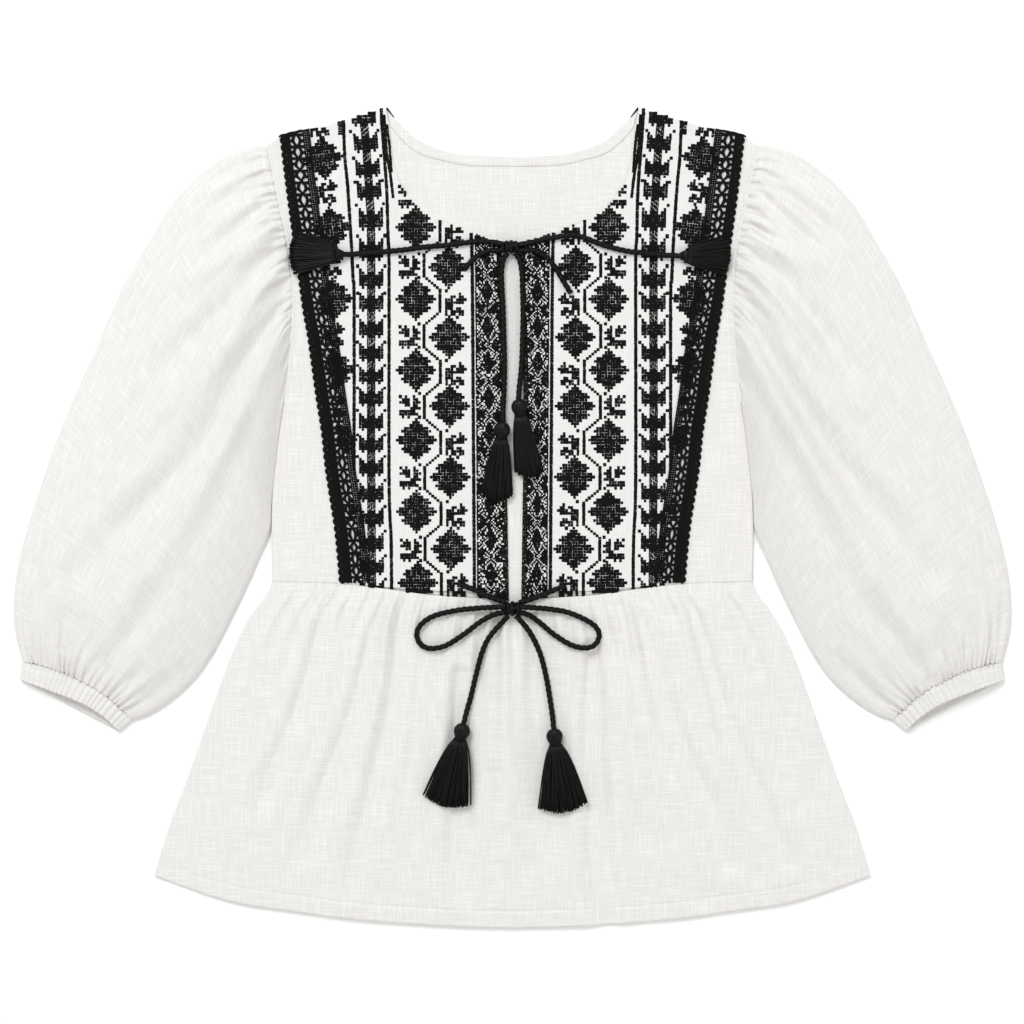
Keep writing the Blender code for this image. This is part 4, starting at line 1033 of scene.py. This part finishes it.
def make_tassel(tassel):
    """A wrapped head and many fine strands, which fan out and lie on the cloth."""
    root, forward, sideways = tassel_frame(tassel)
    rows = HEADS[tassel.head]
    end = rows[-1]
    head_middle, tip_middle = tassel_heights(tassel)
    core = root + UPWARDS * head_middle
    bundle = Bundle()

    # The head: strands laid over a core, so the section is finely ribbed
    fine = curve_points([(row.along, row.half_wide, row.half_high) for row in rows], 26)
    turns = even_turns(56)
    ribs = 1 + 0.035 * np.cos(14 * turns)
    head = [core + forward * along + oval(turns, wide * ribs, high * ribs, sideways)
            for along, wide, high in fine]
    bundle.add(np.vstack(head), grid_faces(len(fine), len(turns), wrap=True))
    bundle.close_ends(len(fine), len(turns), outward=False)

    # The binding: a few turns of thread where the head is narrowest
    waist = min(rows[1:], key=lambda row: row.half_wide)
    for k in range(4):
        along = waist.along - 1.2 + 0.8 * k
        wide = np.interp(along, fine[:, 0], fine[:, 1]) + 0.25
        high = np.interp(along, fine[:, 0], fine[:, 2]) + 0.25
        bundle.tube(core + forward * along + oval(even_turns(28), wide, high, sideways), 0.45, 6, closed=True)

    # The skirt: u and v are a strand's place across it and up
    chance = np.random.default_rng(sum(map(ord, tassel.name)))
    share = np.linspace(0, 1, 8)
    wide = (end.half_wide - 0.5) + (tassel.fan / 2 - end.half_wide) * share ** 0.72
    high = (end.half_high - 0.5) + (SKIRT_TIP_HEIGHT / 2 - end.half_high) * share
    middle = head_middle + (tip_middle - head_middle) * share
    for j in range(STRANDS_HIGH):
        for i in range(STRANDS_WIDE):
            u = (2 * i + 1) / STRANDS_WIDE - 1 + chance.uniform(-0.04, 0.04)
            v = (2 * j + 1) / STRANDS_HIGH - 1 + chance.uniform(-0.08, 0.08)
            across = u * math.sqrt(max(1 - v * v / 2, 0))
            above = v * math.sqrt(max(1 - u * u / 2, 0))
            spare = chance.uniform(-1.4, 0.3)
            sway = chance.uniform(-0.5, 0.5)
            along = end.along - 1.0 + (tassel.skirt + 1.0 + spare) * share
            along -= 0.11 * tassel.skirt * share * u * u
            bend = sway * np.sin(math.pi * share * 1.3)
            path = (root + np.outer(along, forward) + np.outer(across * wide + bend, sideways)
                    + np.outer(middle + above * high, UPWARDS))
            bundle.tube(path, STRAND_RADIUS * (1 - 0.12 * share), 5)
    return bundle.piece(tassel.name + "_strands", TASSEL_FLOSS, node=tassel.name)


def make_ties():
    tassels = {tassel.name: make_tassel(tassel) for tassel in TASSELS}
    for knot in KNOTS:
        make_knot(knot)
    for name, (far_end, tassel) in FAR_ENDS.items():
        path = cord_path(name)
        make_rope(name, path)


# Bodice

def join_edge():
    """The seam under the middle of the lace, from the shoulder to the waist."""
    line = LACE_CURVE - [LACE_WIDTH / 2, 0.0]
    line[0, 1] = np.interp(line[0, 0], *np.array(SHOULDER_LINE).T)
    line[-1, 1] = np.interp(line[-1, 0], WAIST[:, 0], WAIST[:, 1]) + SEAM
    return line


def between(inner, outer):
    """Top, low, inner and outer edges of a piece that runs from the shoulder to the waist, as (out, up)."""
    top = shoulder_between(inner[0, 0], outer[0, 0])
    low = waist_between(inner[-1, 0], outer[-1, 0])
    return top, low, inner, outer


def panel_edges():
    inner = joined(FRONT_NECK, PLACKET_LINE)
    inner[len(smooth_line(FRONT_NECK)):, 0] += SEAM
    return between(inner, join_edge())


def side_piece_edges():
    return between(join_edge() + [SEAM, 0.0], joined(ARMHOLE, BODY_SIDE))


def placket_edges(side):
    inner = smooth_line(SLIT_EDGE[side])
    outer = smooth_line(PLACKET_LINE)
    return smooth_line(PLACKET_NECK)[::-1], waist_between(inner[-1, 0], outer[-1, 0]), inner, outer


def make_bodice():
    neck = smooth_line(BACK_NECK)
    side_edge = joined(ARMHOLE, BODY_SIDE)
    top = both_halves(np.vstack([neck[:-1], SHOULDER_LINE]))
    low = both_halves(waist_between(0.0, side_edge[-1, 0]))
    plan = coons(top, low, side_edge * [-1, 1], side_edge, shares(150, 0.002), shares(56))
    sheets = {"bodice_back": cloth_sheet("back_cloth", "bodice_back", plan, back_top, UNDERSIDE, SLUB_LINEN)}

    outer = both_halves(neck)
    inner = both_halves(smooth_line(FACING_EDGE))
    ends = [np.linspace(outer[k], inner[k], 20) for k in (0, -1)]
    plan = coons(outer, inner, *ends, shares(160, 0.002), shares(8, 0.08))
    sheets["back_neck_facing"] = cloth_sheet("facing_cloth", "back_neck_facing", plan, facing_top,
                                             BACK_TOP + 0.1, SLUB_LINEN)

    for side in SIDES:
        fronts = [
            ("panel_cloth_", "embroidered_panel_", panel_edges(), shares(46, 0.006), 120, PANEL_COTTON),
            ("side_cloth_", "front_side_", side_piece_edges(), shares(26, 0.015), 150, SLUB_LINEN),
            ("placket_cloth_", "placket_band_", placket_edges(side), shares(16, 0.03), 120, PANEL_COTTON),
        ]
        for name, node, edges, across, rows, finish in fronts:
            plan = sided(coons(*edges, across, shares(rows)), side)
            sheets[node + side] = cloth_sheet(name + side, node + side, plan, panel_top, FRONT_LOW, finish)
    return sheets


# Sleeves and cuffs

def sleeve_edges():
    cap = smooth_line(ARMHOLE) + [SEAM, 0.0]
    seam = smooth_line(CUFF_SEAM)
    outer = smooth_line(SLEEVE_OUTER)
    inner = smooth_line(SLEEVE_INNER)
    fade = np.linspace(1, 0, len(outer))[:, None] * [SEAM, 0.0]
    return cap, seam, outer + fade, inner + fade


SLEEVE_CROWN = curve_points([(1000 * row.down, row.crown) for row in SLEEVE_ROWS], 300)


def gathered(across, down, seed, kind):
    """Small uneven gathers that start at a seam and run out, each with its own place, length and depth."""
    chance = np.random.default_rng(seed)
    total = np.zeros(np.broadcast(across, down).shape)
    step = (kind.last - kind.first) / kind.count
    for k in range(kind.count):
        place = kind.first + (k + 0.5 + chance.uniform(-0.35, 0.35)) * step
        width = chance.uniform(0.20, 0.34) * step
        length = kind.reach * chance.uniform(0.35, 1.6)
        lean = chance.uniform(-0.5, 0.5) * step
        gap = (across - place - lean * down / kind.reach) / (width * (1 + 1.1 * down / kind.reach))
        shape = np.exp(-gap ** 2) - 0.35 * np.exp(-((np.abs(gap) - 2.0) / 0.8) ** 2)
        total -= kind.depth * chance.uniform(0.5, 1.3) * shape * np.exp(-(down / length) ** 1.6)
    return total


def sleeve_height(side, across, down, x, y):
    """Height of the sleeve's upper face above its rounded edges."""
    shape = 1 - np.abs(2 * across - 1) ** CROWN_POWER
    crown = np.interp(1000 * down, SLEEVE_CROWN[:, 0], SLEEVE_CROWN[:, 1])
    creases = FOLD_STRENGTH[side] * fold_rise(SLEEVE_FOLDS[side], x, y)
    creases = creases * np.minimum(1, 2 * shape) * np.minimum(1, crown / 6)
    seed = SLEEVE_SEED[side]
    small = (gathered(across, down, seed, CAP_GATHERS) + gathered(across, down, seed + 2, UNDERARM_GATHERS)
             + gathered(across, 1 - down, seed + 1, CUFF_GATHERS))
    calm = soft_waves(x, y, 13, 0.9) * np.minimum(1, crown / 10) * shape
    return crown * shape + creases + small * np.minimum(1, 2.6 * shape) + calm


def make_sleeve(side):
    """A tube of cloth with a gathered upper face and a flat underside, its grain running down the sleeve."""
    across = (1 - np.cos(np.linspace(0, math.pi, 341))) / 2
    # Rows lie closer together at both seams, where the gathers are
    steady = np.linspace(0, 1, 127)
    down = steady - 0.62 * np.sin(2 * math.pi * steady) / (2 * math.pi)
    edges = sleeve_edges()
    plan = coons(*edges, across, down)
    width = np.linalg.norm(np.diff(plan, axis=1), axis=2).sum(1)[:, None]
    edge_top = EDGE_HEIGHT / 2 * (1 + edge_round(across[None, :], width))
    top = edge_top + sleeve_height(side, across[None, :], down[:, None], plan[..., 0], plan[..., 1])
    top = np.maximum(top, edge_top * 0.98)
    under_across = (1 + np.cos(np.linspace(0, math.pi, 31)[1:-1])) / 2
    under = coons(*edges, under_across, down)
    low = tube_underside(under_across[None, :], width)
    ring = np.concatenate([np.dstack([plan, top]), np.dstack([under, low])], axis=1)
    # Both ends turn in by the cloth's thickness, so no edge is paper thin
    ends = ring[[0, -1]]
    ends[..., 2] = EDGE_HEIGHT / 2 + (ends[..., 2] - EDGE_HEIGHT / 2) * 0.6
    ring = np.concatenate([ends[:1], ring, ends[1:]])
    run = np.concatenate([[0], down, [1]]) * length_of(smooth_line(SLEEVE_OUTER))
    way_round = SLEEVE_HALF_ROUND * np.concatenate([across, 2 - under_across])
    return tube_piece("sleeve_cloth_" + side, "sleeve_" + side, ring, side, way_round, run)


def make_cuff(side):
    """A ribbed elastic cuff whose mouth stands a little open, so the inside of its back shows."""
    seam = smooth_line(CUFF_SEAM)
    front = smooth_line(CUFF_FRONT)
    back = front[0] + (front[-1] - front[0]) * np.linspace(0, 1, len(front))[:, None]
    towards = front - seam
    seam = seam + SEAM * towards / np.linalg.norm(towards, axis=1)[:, None]
    columns = CUFF_RIBS * 10
    across = np.linspace(0, 1, columns + 1)
    under_across = np.linspace(1, 0, 33)[1:-1]
    shape = 1 - np.abs(2 * across - 1) ** CROWN_POWER
    rib = RIB_RISE * np.abs(np.sin(math.pi * CUFF_RIBS * (across + 0.012 * np.sin(19 * across)))) ** 0.9
    low = tube_underside(under_across, CUFF_WIDTH)
    outer = []
    for down in np.linspace(0, 1, CUFF_ROWS):
        plan = (1 - down) * resampled(seam, across) + down * resampled(front, across)
        under = (1 - down) * resampled(seam, under_across) + down * resampled(back, under_across)
        pinch = 0.1 * math.cos(2 * math.pi * 3 * down)
        top = (EDGE_HEIGHT / 2 * (1 + edge_round(across, CUFF_WIDTH)) + CUFF_CROWN * shape
               + (rib + pinch - 0.8) * np.minimum(1, 3 * shape))
        outer.append(np.vstack([np.column_stack([plan, top]), np.column_stack([under, low])]))
    outer = np.array(outer)
    # The inside of the ring
    inner = outer.copy()
    is_top = np.arange(outer.shape[1]) <= columns
    inner[:, is_top, 2] = np.maximum(EDGE_HEIGHT / 2, outer[:, is_top, 2] - 1.3)
    inner[:, ~is_top, 2] = np.minimum(EDGE_HEIGHT / 2, outer[:, ~is_top, 2] + 1.2)
    centre = outer[..., :2].mean(axis=1, keepdims=True)
    inner[..., :2] = centre + (inner[..., :2] - centre) * 0.985
    ring = np.concatenate([outer, inner[::-1]])
    run = np.concatenate([np.linspace(0, CUFF_LONG, CUFF_ROWS), np.linspace(CUFF_LONG, 0, CUFF_ROWS) + 20])
    return tube_piece("cuff_cloth_" + side, "cuff_" + side, ring, side, np.arange(ring.shape[1]) * 0.42, run,
                      closed=True)


# Peplum

def peplum_plan(across, down):
    out = np.abs(2 * across - 1)[None, :]
    top = read_at(WAIST_CURVE, out.ravel(), 0, 1)[None, :]
    low = read_at(HEM_CURVE, out.ravel(), 0, 1)[None, :]
    y = top + (low - top) * down[:, None]
    return np.dstack([(2 * across - 1)[None, :] * half_width(y), y])


def peplum_back_top(x, y):
    return np.full(np.shape(x), WALL)


def make_peplum():
    down = np.sort(np.concatenate([shares(132), HEM_SEWN + np.array(HEM_ROWS)]))
    plan = peplum_plan(shares(430, 0.001), down)
    front = cloth_sheet("peplum_front_cloth", "peplum_front", plan, peplum_top, FRONT_LOW, SLUB_LINEN)
    plan = peplum_plan(shares(60, 0.001), shares(30))
    back = cloth_sheet("peplum_back_cloth", "peplum_back", plan, peplum_back_top, UNDERSIDE, SLUB_LINEN)
    return {"peplum_front": front, "peplum_back": back}


# Embroidery

def inside(polygon, x, y):
    """Whether points lie inside a closed outline."""
    result = np.zeros(len(x), bool)
    for k in range(len(polygon)):
        (ax, ay), (bx, by) = polygon[k - 1], polygon[k]
        if ay == by:
            continue
        crosses = ((ay > y) != (by > y)) & (x < (bx - ax) * (y - ay) / (by - ay) + ax)
        result ^= crosses
    return result


def motif_stitches(chart, place, turn=0.0, pitch_up=STITCH_UP):
    """Stitches of a charted motif about its middle: x, y, angle, half width, half height, openness."""
    rows = len(chart)
    cols = max(len(row) for row in chart)
    made = []
    for i, row in enumerate(chart):
        for j, mark in enumerate(row):
            if mark == ".":
                continue
            beside = [row[n] for n in (j - 1, j + 1) if 0 <= n < len(row)]
            near = [chart[n][j] for n in (i - 1, i + 1) if 0 <= n < rows and j < len(chart[n])]
            alone = set(beside + near) <= {"."}
            open_edge = "." in beside or len(beside) < 2
            ease = 1.0 if mark == "o" or alone else 0.55 if open_edge else 0.0
            grow = 1.25 if alone else 1.04
            across = ((cols - 1) / 2 - j) * STITCH_ACROSS
            up = ((rows - 1) / 2 - i) * pitch_up
            made.append((place[0] + across * math.cos(turn) - up * math.sin(turn),
                         place[1] + across * math.sin(turn) + up * math.cos(turn), turn,
                         grow * STITCH_ACROSS / 2, grow * pitch_up / 2, ease))
    return made


def line_stitches(points, width, pitch):
    path = curve_points(points, max(2, int(round(length_of(points) / pitch)) + 1))
    ahead = np.gradient(path, axis=0)
    turns = np.arctan2(ahead[:, 0], ahead[:, 1])
    return [(x, y, -turn, width / 2, 0.54 * pitch, 0.35) for (x, y), turn in zip(path, turns)]


def winding_stitches():
    """The line that winds between the two rows of diamonds: straight runs and dotted slants."""
    made = []
    for k in range(6):
        up = PATH_FIRST_UP - k * PATH_PERIOD
        middle = up - PATH_PERIOD / 2
        drift = PATH_DRIFT * max(0, k - 1) / 5
        outer = PATH_OUTER - drift
        inner = PATH_INNER - drift
        for out, about in ((outer, up), (inner, middle)):
            made += [(out, y, 0.0, *RUN_STITCH)
                     for y in np.linspace(about + PATH_RUN_UP, about - PATH_RUN_UP, 10)]
        for first, last, high, low in ((outer, inner, up - PATH_RUN_UP, middle + PATH_RUN_UP),
                                       (inner, outer, middle - PATH_RUN_UP, up - PATH_PERIOD + PATH_RUN_UP)):
            made += [(first + (last - first) * share, high + (low - high) * share, 0.0, *DOT_STITCH)
                     for share in np.linspace(0, 1, 7)[1:-1]]
    return made


def front_stitches():
    """All cross stitches of one front, as motif_stitches gives them."""
    made = []
    charts = ((DIAMOND, DIAMONDS_OUT + DIAMONDS_IN), (LEAF_OUT, LEAVES_OUT), (LEAF_IN, LEAVES_IN))
    for chart, places in charts:
        for place in places:
            made += motif_stitches(chart, place)
    for k, place in enumerate(DIAMONDS_SIDE):
        made += motif_stitches(DIAMOND, place, turn=-0.12 if k < 2 else -0.05)
    for place in LEAVES_SIDE:
        made += motif_stitches(LEAF_IN, place, turn=-0.1)
    tree = smooth_line(TREE_LINE)
    for up, period in zip(TREE_UPS, np.abs(np.gradient(TREE_UPS))):
        lean = (read_at(tree, up + 9, 1, 0) - read_at(tree, up - 9, 1, 0)) / 18
        made += motif_stitches(TREE, (read_at(tree, up, 1, 0), up), turn=-math.atan(lean),
                               pitch_up=period / len(TREE))
    for line in STITCH_LINES:
        made += line_stitches(line.points, line.width, 1.75)
    return np.array(made + winding_stitches())


def cross_template(reach, corner):
    """One cross stitch as a small cushion with a ridge each way; its cut corners show as needle holes."""
    rim = [(reach, -corner), (reach, corner), (corner, reach), (-corner, reach), (-reach, corner),
           (-reach, -corner), (-corner, -reach), (corner, -reach)]
    ridge = [(0.31 * (rim[k][0] + rim[(k + 1) % 8][0]), 0.31 * (rim[k][1] + rim[(k + 1) % 8][1]), 0.75)
             for k in (1, 3, 5, 7)]
    return np.array([(x, y, -0.15) for x, y in rim] + ridge + [(0.0, 0.0, 1.2)])


CROSS_CLOSE = cross_template(1.06, 0.98)
CROSS_OPEN = cross_template(1.04, 0.82)
CROSS_FACES = np.array([
    (1, 2, 8), (2, 3, 8), (3, 9, 8), (3, 4, 9), (4, 5, 9), (5, 10, 9), (5, 6, 10), (6, 7, 10), (7, 11, 10),
    (7, 0, 11), (0, 1, 11), (1, 8, 11), (8, 9, 12), (9, 10, 12), (10, 11, 12), (11, 8, 12)
])
TILE_VERTS = np.array([(-1.0, -1.0, -0.2), (1.0, -1.0, -0.2), (1.0, 1.0, -0.2), (-1.0, 1.0, -0.2),
                       (-0.55, -0.6, 0.9), (0.55, -0.6, 0.9), (0.55, 0.6, 0.9), (-0.55, 0.6, 0.9)])
TILE_FACES = np.array([(4, 5, 6, 7), (0, 1, 5, 4), (1, 2, 6, 5), (2, 3, 7, 6), (3, 0, 4, 7)])


def stitch_piece(name, parts, side, seed):
    """Stitches as one mesh on the cloth, each a little uneven; parts lists stitches, shapes and faces."""
    chance = np.random.default_rng(seed)
    bundle = Bundle()
    for stitches, close, loose, faces, thickness in parts:
        count = len(stitches)
        x = stitches[:, 0] + chance.normal(0, 0.06, count)
        y = stitches[:, 1] + chance.normal(0, 0.06, count)
        turn = (stitches[:, 2] + chance.normal(0, 0.05, count))[:, None]
        grow = 1 + chance.normal(0, 0.05, count)
        ease = np.clip(stitches[:, 5] + chance.normal(0, 0.06, count), 0, 1)[:, None, None]
        shape = close[None] * (1 - ease) + loose[None] * ease
        u = shape[..., 0] * (stitches[:, 3] * grow)[:, None]
        v = shape[..., 1] * (stitches[:, 4] * grow)[:, None]
        px = x[:, None] + u * np.cos(turn) - v * np.sin(turn)
        py = y[:, None] + u * np.sin(turn) + v * np.cos(turn)
        if side == "left":
            px = -px
        step = (np.arange(count) * len(close))[:, None, None]
        made = (faces[None] + step).reshape(-1, faces.shape[1])
        bundle.add(np.dstack([px, py, panel_top(px, py) + shape[..., 2] * thickness]).reshape(-1, 3),
                   made[:, ::-1] if side == "left" else made)
    return bundle.piece(name, STITCH_COTTON, smooth=False)


def stem_stitches():
    """The stem of the tree column: long upright stitches side by side."""
    tree = smooth_line(TREE_LINE)
    made = []
    for k in range(STEM_THREADS):
        shift = ((k + 0.5) / STEM_THREADS - 0.5) * STEM_WIDTH
        for up in np.arange(326.0 - 1.1 * k, -64.0, -3.6):
            out = read_at(tree, up, 1, 0) + shift
            made.append((out, up, 0.0, STEM_WIDTH / STEM_THREADS / 2 * 1.02, 1.85, 0.0))
    return np.array(made)


def lattice_stitches(side):
    """The dense fine lattice of the placket, with a black border along the slit."""
    rows = LATTICE_HALF + LATTICE_HALF[-2:0:-1]
    outer = smooth_line(PLACKET_LINE)
    inner = smooth_line(SLIT_EDGE[side])
    columns = 2 * len(LATTICE_HALF[0]) - 1
    chance = np.random.default_rng(61 if side == "left" else 62)
    made = []
    up = LATTICE_TOP
    k = LATTICE_FIRST_ROW
    while up > LATTICE_LOW:
        start = read_at(inner, min(up, SLIT_TOP), 1, 0) + SLIT_BORDER
        pitch = (read_at(outer, up, 1, 0) - SEAM_BORDER - start) / columns
        row = rows[k % len(rows)]
        for j, mark in enumerate(row + row[-2::-1]):
            # Some cells are missed and some filled, as in hand work, though few by the middle
            by_middle = abs(j - columns // 2) < 3
            missed = chance.random() < (0.01 if by_middle else 0.07)
            if (mark == "#" and not missed) or (mark == "." and chance.random() < 0.2):
                grow = chance.uniform(0.54, 0.68)
                made.append((start + (j + 0.5) * pitch, up, 0.0, pitch * grow, LATTICE_PITCH * grow, 0.0))
        for j in range(SLIT_THREADS):
            made.append((start - 3.1 + (j + 0.5) * 1.05, up, 0.0, 0.6, LATTICE_PITCH * 0.55, 0.0))
        up -= LATTICE_PITCH
        k += 1
    return np.array(made)


def make_embroidery():
    top, low, inner, outer = panel_edges()
    outline = np.vstack([top, outer[1:], low[::-1][1:], inner[::-1][1:]])
    crosses, stem = [made[inside(outline, made[:, 0], made[:, 1])]
                     for made in (front_stitches(), stem_stitches())]
    sheets = {}
    for number, side in enumerate(SIDES):
        parts = [(crosses, CROSS_CLOSE, CROSS_OPEN, CROSS_FACES, CROSS_RISE),
                 (stem, TILE_VERTS, TILE_VERTS, TILE_FACES, STEM_RISE)]
        sheets["embroidered_panel_" + side] = stitch_piece("panel_stitches_" + side, parts, side, 31 + number)
        seam = line_stitches(PLACKET_SEAM.points, PLACKET_SEAM.width, 1.3)
        placket = np.vstack([lattice_stitches(side), seam])
        waist = np.interp(placket[:, 0], WAIST[:, 0], WAIST[:, 1]) + 0.8
        neck = np.interp(placket[:, 0], *np.array(sorted(PLACKET_NECK + [(35.2, 235.2)])).T) - 0.4
        placket = placket[(placket[:, 1] > waist) & (placket[:, 1] < neck)]
        parts = [(placket, TILE_VERTS, TILE_VERTS, TILE_FACES, LATTICE_RISE)]
        sheets["placket_band_" + side] = stitch_piece("placket_stitches_" + side, parts, side, 41 + number)
    return sheets


# Crochet lace

SCALLOP_PITCH = 5.9
# Nested loops of a scallop: their share of its size, and the thread's radius
SCALLOP_LOOPS = ((1.0, 0.75), (0.62, 0.7), (0.25, 0.7))
# Chains along the lace: how far in from its outer edge, and the thread's radius
EDGE_CHAIN = 1.2
INNER_CHAINS = (16.4, 18.2, 20.0, 21.5)
CHAINS = ((EDGE_CHAIN, 0.75), (16.4, 0.6), (18.2, 0.6), (20.0, 0.6), (21.5, 0.65))
POST_PITCH = 1.3
BAR_PITCH = 1.9
# Net of large holes between the two solid edges
NET_PITCH = 9.9
NET_HIGH = 16.2


def lengthened(curve, more):
    """The curve with a straight run added before its start."""
    ahead = curve[0] - curve[4]
    return np.vstack([curve[0] + ahead / np.linalg.norm(ahead) * more, curve])


def net_low(along):
    """How far in the net starts; the solid edge grows wider away from the shoulder."""
    return 4.6 + 2.4 * np.clip((np.asarray(along) - 60.0) / 150.0, 0, 1)


LACE_PATH = lengthened(LACE_CURVE, 9.0)
LACE_LONG = length_of(LACE_PATH)


def lace_place(side, along, across, lift):
    """Points of the lace: distance along its outer edge, distance in from it, and height over the cloth."""
    spot = resampled(LACE_PATH, np.clip(np.asarray(along, float) / LACE_LONG, 0, 1))
    out = spot[:, 0] - across
    up = np.clip(spot[:, 1], np.interp(out, WAIST[:, 0], WAIST[:, 1]) + 0.9,
                 np.interp(out, *np.array(SHOULDER_LINE).T))
    x = -out if side == "left" else out
    return np.column_stack([x, up, panel_top(x, up) + lift])


def make_lace(side):
    bundle = Bundle()
    chance = np.random.default_rng(5 if side == "left" else 6)

    def thread(along, across, radius, lift):
        bundle.tube(lace_place(side, np.asarray(along), np.asarray(across), lift), radius, 5, flat=0.8)

    count = int(LACE_LONG / SCALLOP_PITCH)
    pitch = LACE_LONG / count
    turn = np.linspace(0, math.pi, 8)
    for k in range(count):
        for reach, radius in SCALLOP_LOOPS:
            along = (k + 0.5) * pitch - np.cos(turn) * pitch * 0.5 * (0.35 + 0.65 * reach)
            thread(along, 0.4 - np.sin(turn) * 3.2 * reach, radius, 0.75)

    # Solid edges: chains with slanted posts or bars between them
    long = np.linspace(0, LACE_LONG, int(LACE_LONG / 1.5))
    for place, radius in CHAINS:
        thread(long, place + 0.18 * np.sin(long * 2.3 + place), radius, 0.95)
    for share, radius in ((0.5, 0.7), (1.0, 0.75)):
        place = EDGE_CHAIN + (net_low(long) - EDGE_CHAIN) * share
        thread(long, place + 0.15 * np.sin(long * 2.1), radius, 0.95)
    for k in range(int(LACE_LONG / POST_PITCH)):
        at = (k + 0.5) * POST_PITCH
        middle = (EDGE_CHAIN + net_low(at)) / 2
        for first, last, lean in ((1.1, middle, 0.6), (middle, net_low(at), -0.6)):
            thread([at - lean, at + lean], [first, last], 0.7, 0.75)
    for k in range(int(LACE_LONG / BAR_PITCH)):
        at = (k + 0.5) * BAR_PITCH + chance.uniform(-0.1, 0.1)
        for first, last in zip(INNER_CHAINS, INNER_CHAINS[1:]):
            thread([at, at + 0.2], [first, last], 0.52, 0.6)

    # Net: two pairs of threads swing apart round each large hole and cross between them, tied to both edges
    uneven = 0.9 * np.sin(long / 23.0) + 0.7 * np.sin(long / 7.3 + 1.0) + 0.5 * np.sin(long / 3.1)
    middle = (net_low(long) + NET_HIGH) / 2
    wider = (NET_HIGH - net_low(long)) / 9.2
    swinging = np.sin(math.pi * (long + uneven) / NET_PITCH)
    for swing, radius in ((1.9, 0.95), (2.9, 0.8)):
        for way in (1, -1):
            thread(long, middle + way * (swing * wider + 0.25 * uneven) * swinging, radius, 0.75 + 0.2 * way)
    for k in range(int(2 * LACE_LONG / NET_PITCH)):
        at = k * NET_PITCH / 2 + chance.uniform(-0.35, 0.35)
        low = float(net_low(at))
        centre = (low + NET_HIGH) / 2
        gap = 0.3 if k % 2 == 0 else 2.3
        for lean in (-0.55, 0.55):
            for edge, way in ((low, -1), (NET_HIGH, 1)):
                thread([at + lean, at + 0.4 * lean], [edge, centre + way * gap],
                       chance.uniform(0.65, 1.15), 0.7)
    return bundle.piece("lace_threads_" + side, CROCHET_COTTON, node="lace_trim_" + side)


# Sewing

def sewn_line(bundle, path, height, stitch=2.6, gap=1.0, radius=0.26):
    """A row of machine stitches half sunk in the cloth."""
    total = length_of(path)
    for k in range(int(total / (stitch + gap))):
        spot = resampled(path, (np.array([0.0, 0.5, 1.0]) * stitch + k * (stitch + gap)) / total)
        z = height(spot[:, 0], spot[:, 1]) + [-0.05, 0.16, -0.05]
        bundle.tube(np.column_stack([spot, z]), radius, 5)


def make_sewing():
    bundle = Bundle()
    across = (np.linspace(-0.995, 0.995, 300) + 1) / 2
    sewn_line(bundle, peplum_plan(across, np.array([HEM_SEWN]))[0], peplum_top)
    sewn_line(bundle, both_halves(smooth_line(FACING_EDGE) + [0.0, 1.6])[12:-12], facing_top)
    for side in SIDES:
        arm = sided(smooth_line(ARMHOLE) - [2.6, 0.0], side)
        sewn_line(bundle, arm[8:-8], panel_top)
        # The welt of the armhole seam fills the groove between sleeve and bodice
        welt = sided(smooth_line(ARMHOLE)[3:-3:4], side)
        bundle.tube(np.column_stack([welt, panel_top(welt[:, 0], welt[:, 1]) + 0.02]), 0.8, 8, flat=0.45)
    return bundle.piece("seam_stitches", SEWING_COTTON, cloth=np.vstack(bundle.verts)[:, :2])


def make_neck_corners():
    """Black edging of the shoulder's inner corner, which runs on a little way along the back neckline."""
    bundle = Bundle()
    run = smooth_line(BACK_NECK)[::-1][:34:3] - [0.3, 0.5]
    for side in SIDES:
        line = sided(run, side)
        path = np.column_stack([line, back_top(line[:, 0], line[:, 1]) + 0.9])
        bundle.tube(path, np.linspace(0.95, 0.35, len(line)), 8)
    bundle.piece("neck_corner_edging", STITCH_COTTON)


def declare_sheets():
    """The cut size of each sheet of cloth, and what goes with it, gathered into a table that is not used
    further.
    """
    cuts = dict(CUTS)
    for side in SIDES:
        cuts.update({name + "_" + side: cut for name, cut in PAIRED_CUTS.items()})


def main():
    make_camera()
    make_light()
    make_floor()
    make_ties()
    cloth = make_bodice()
    for side in SIDES:
        cloth["sleeve_" + side] = make_sleeve(side)
        cloth["cuff_" + side] = make_cuff(side)
    cloth.update(make_peplum())
    extras = make_embroidery()
    for side in SIDES:
        extras["front_side_" + side] = make_lace(side)
    extras["bodice_back"] = make_sewing()
    make_neck_corners()
    declare_sheets()


main()
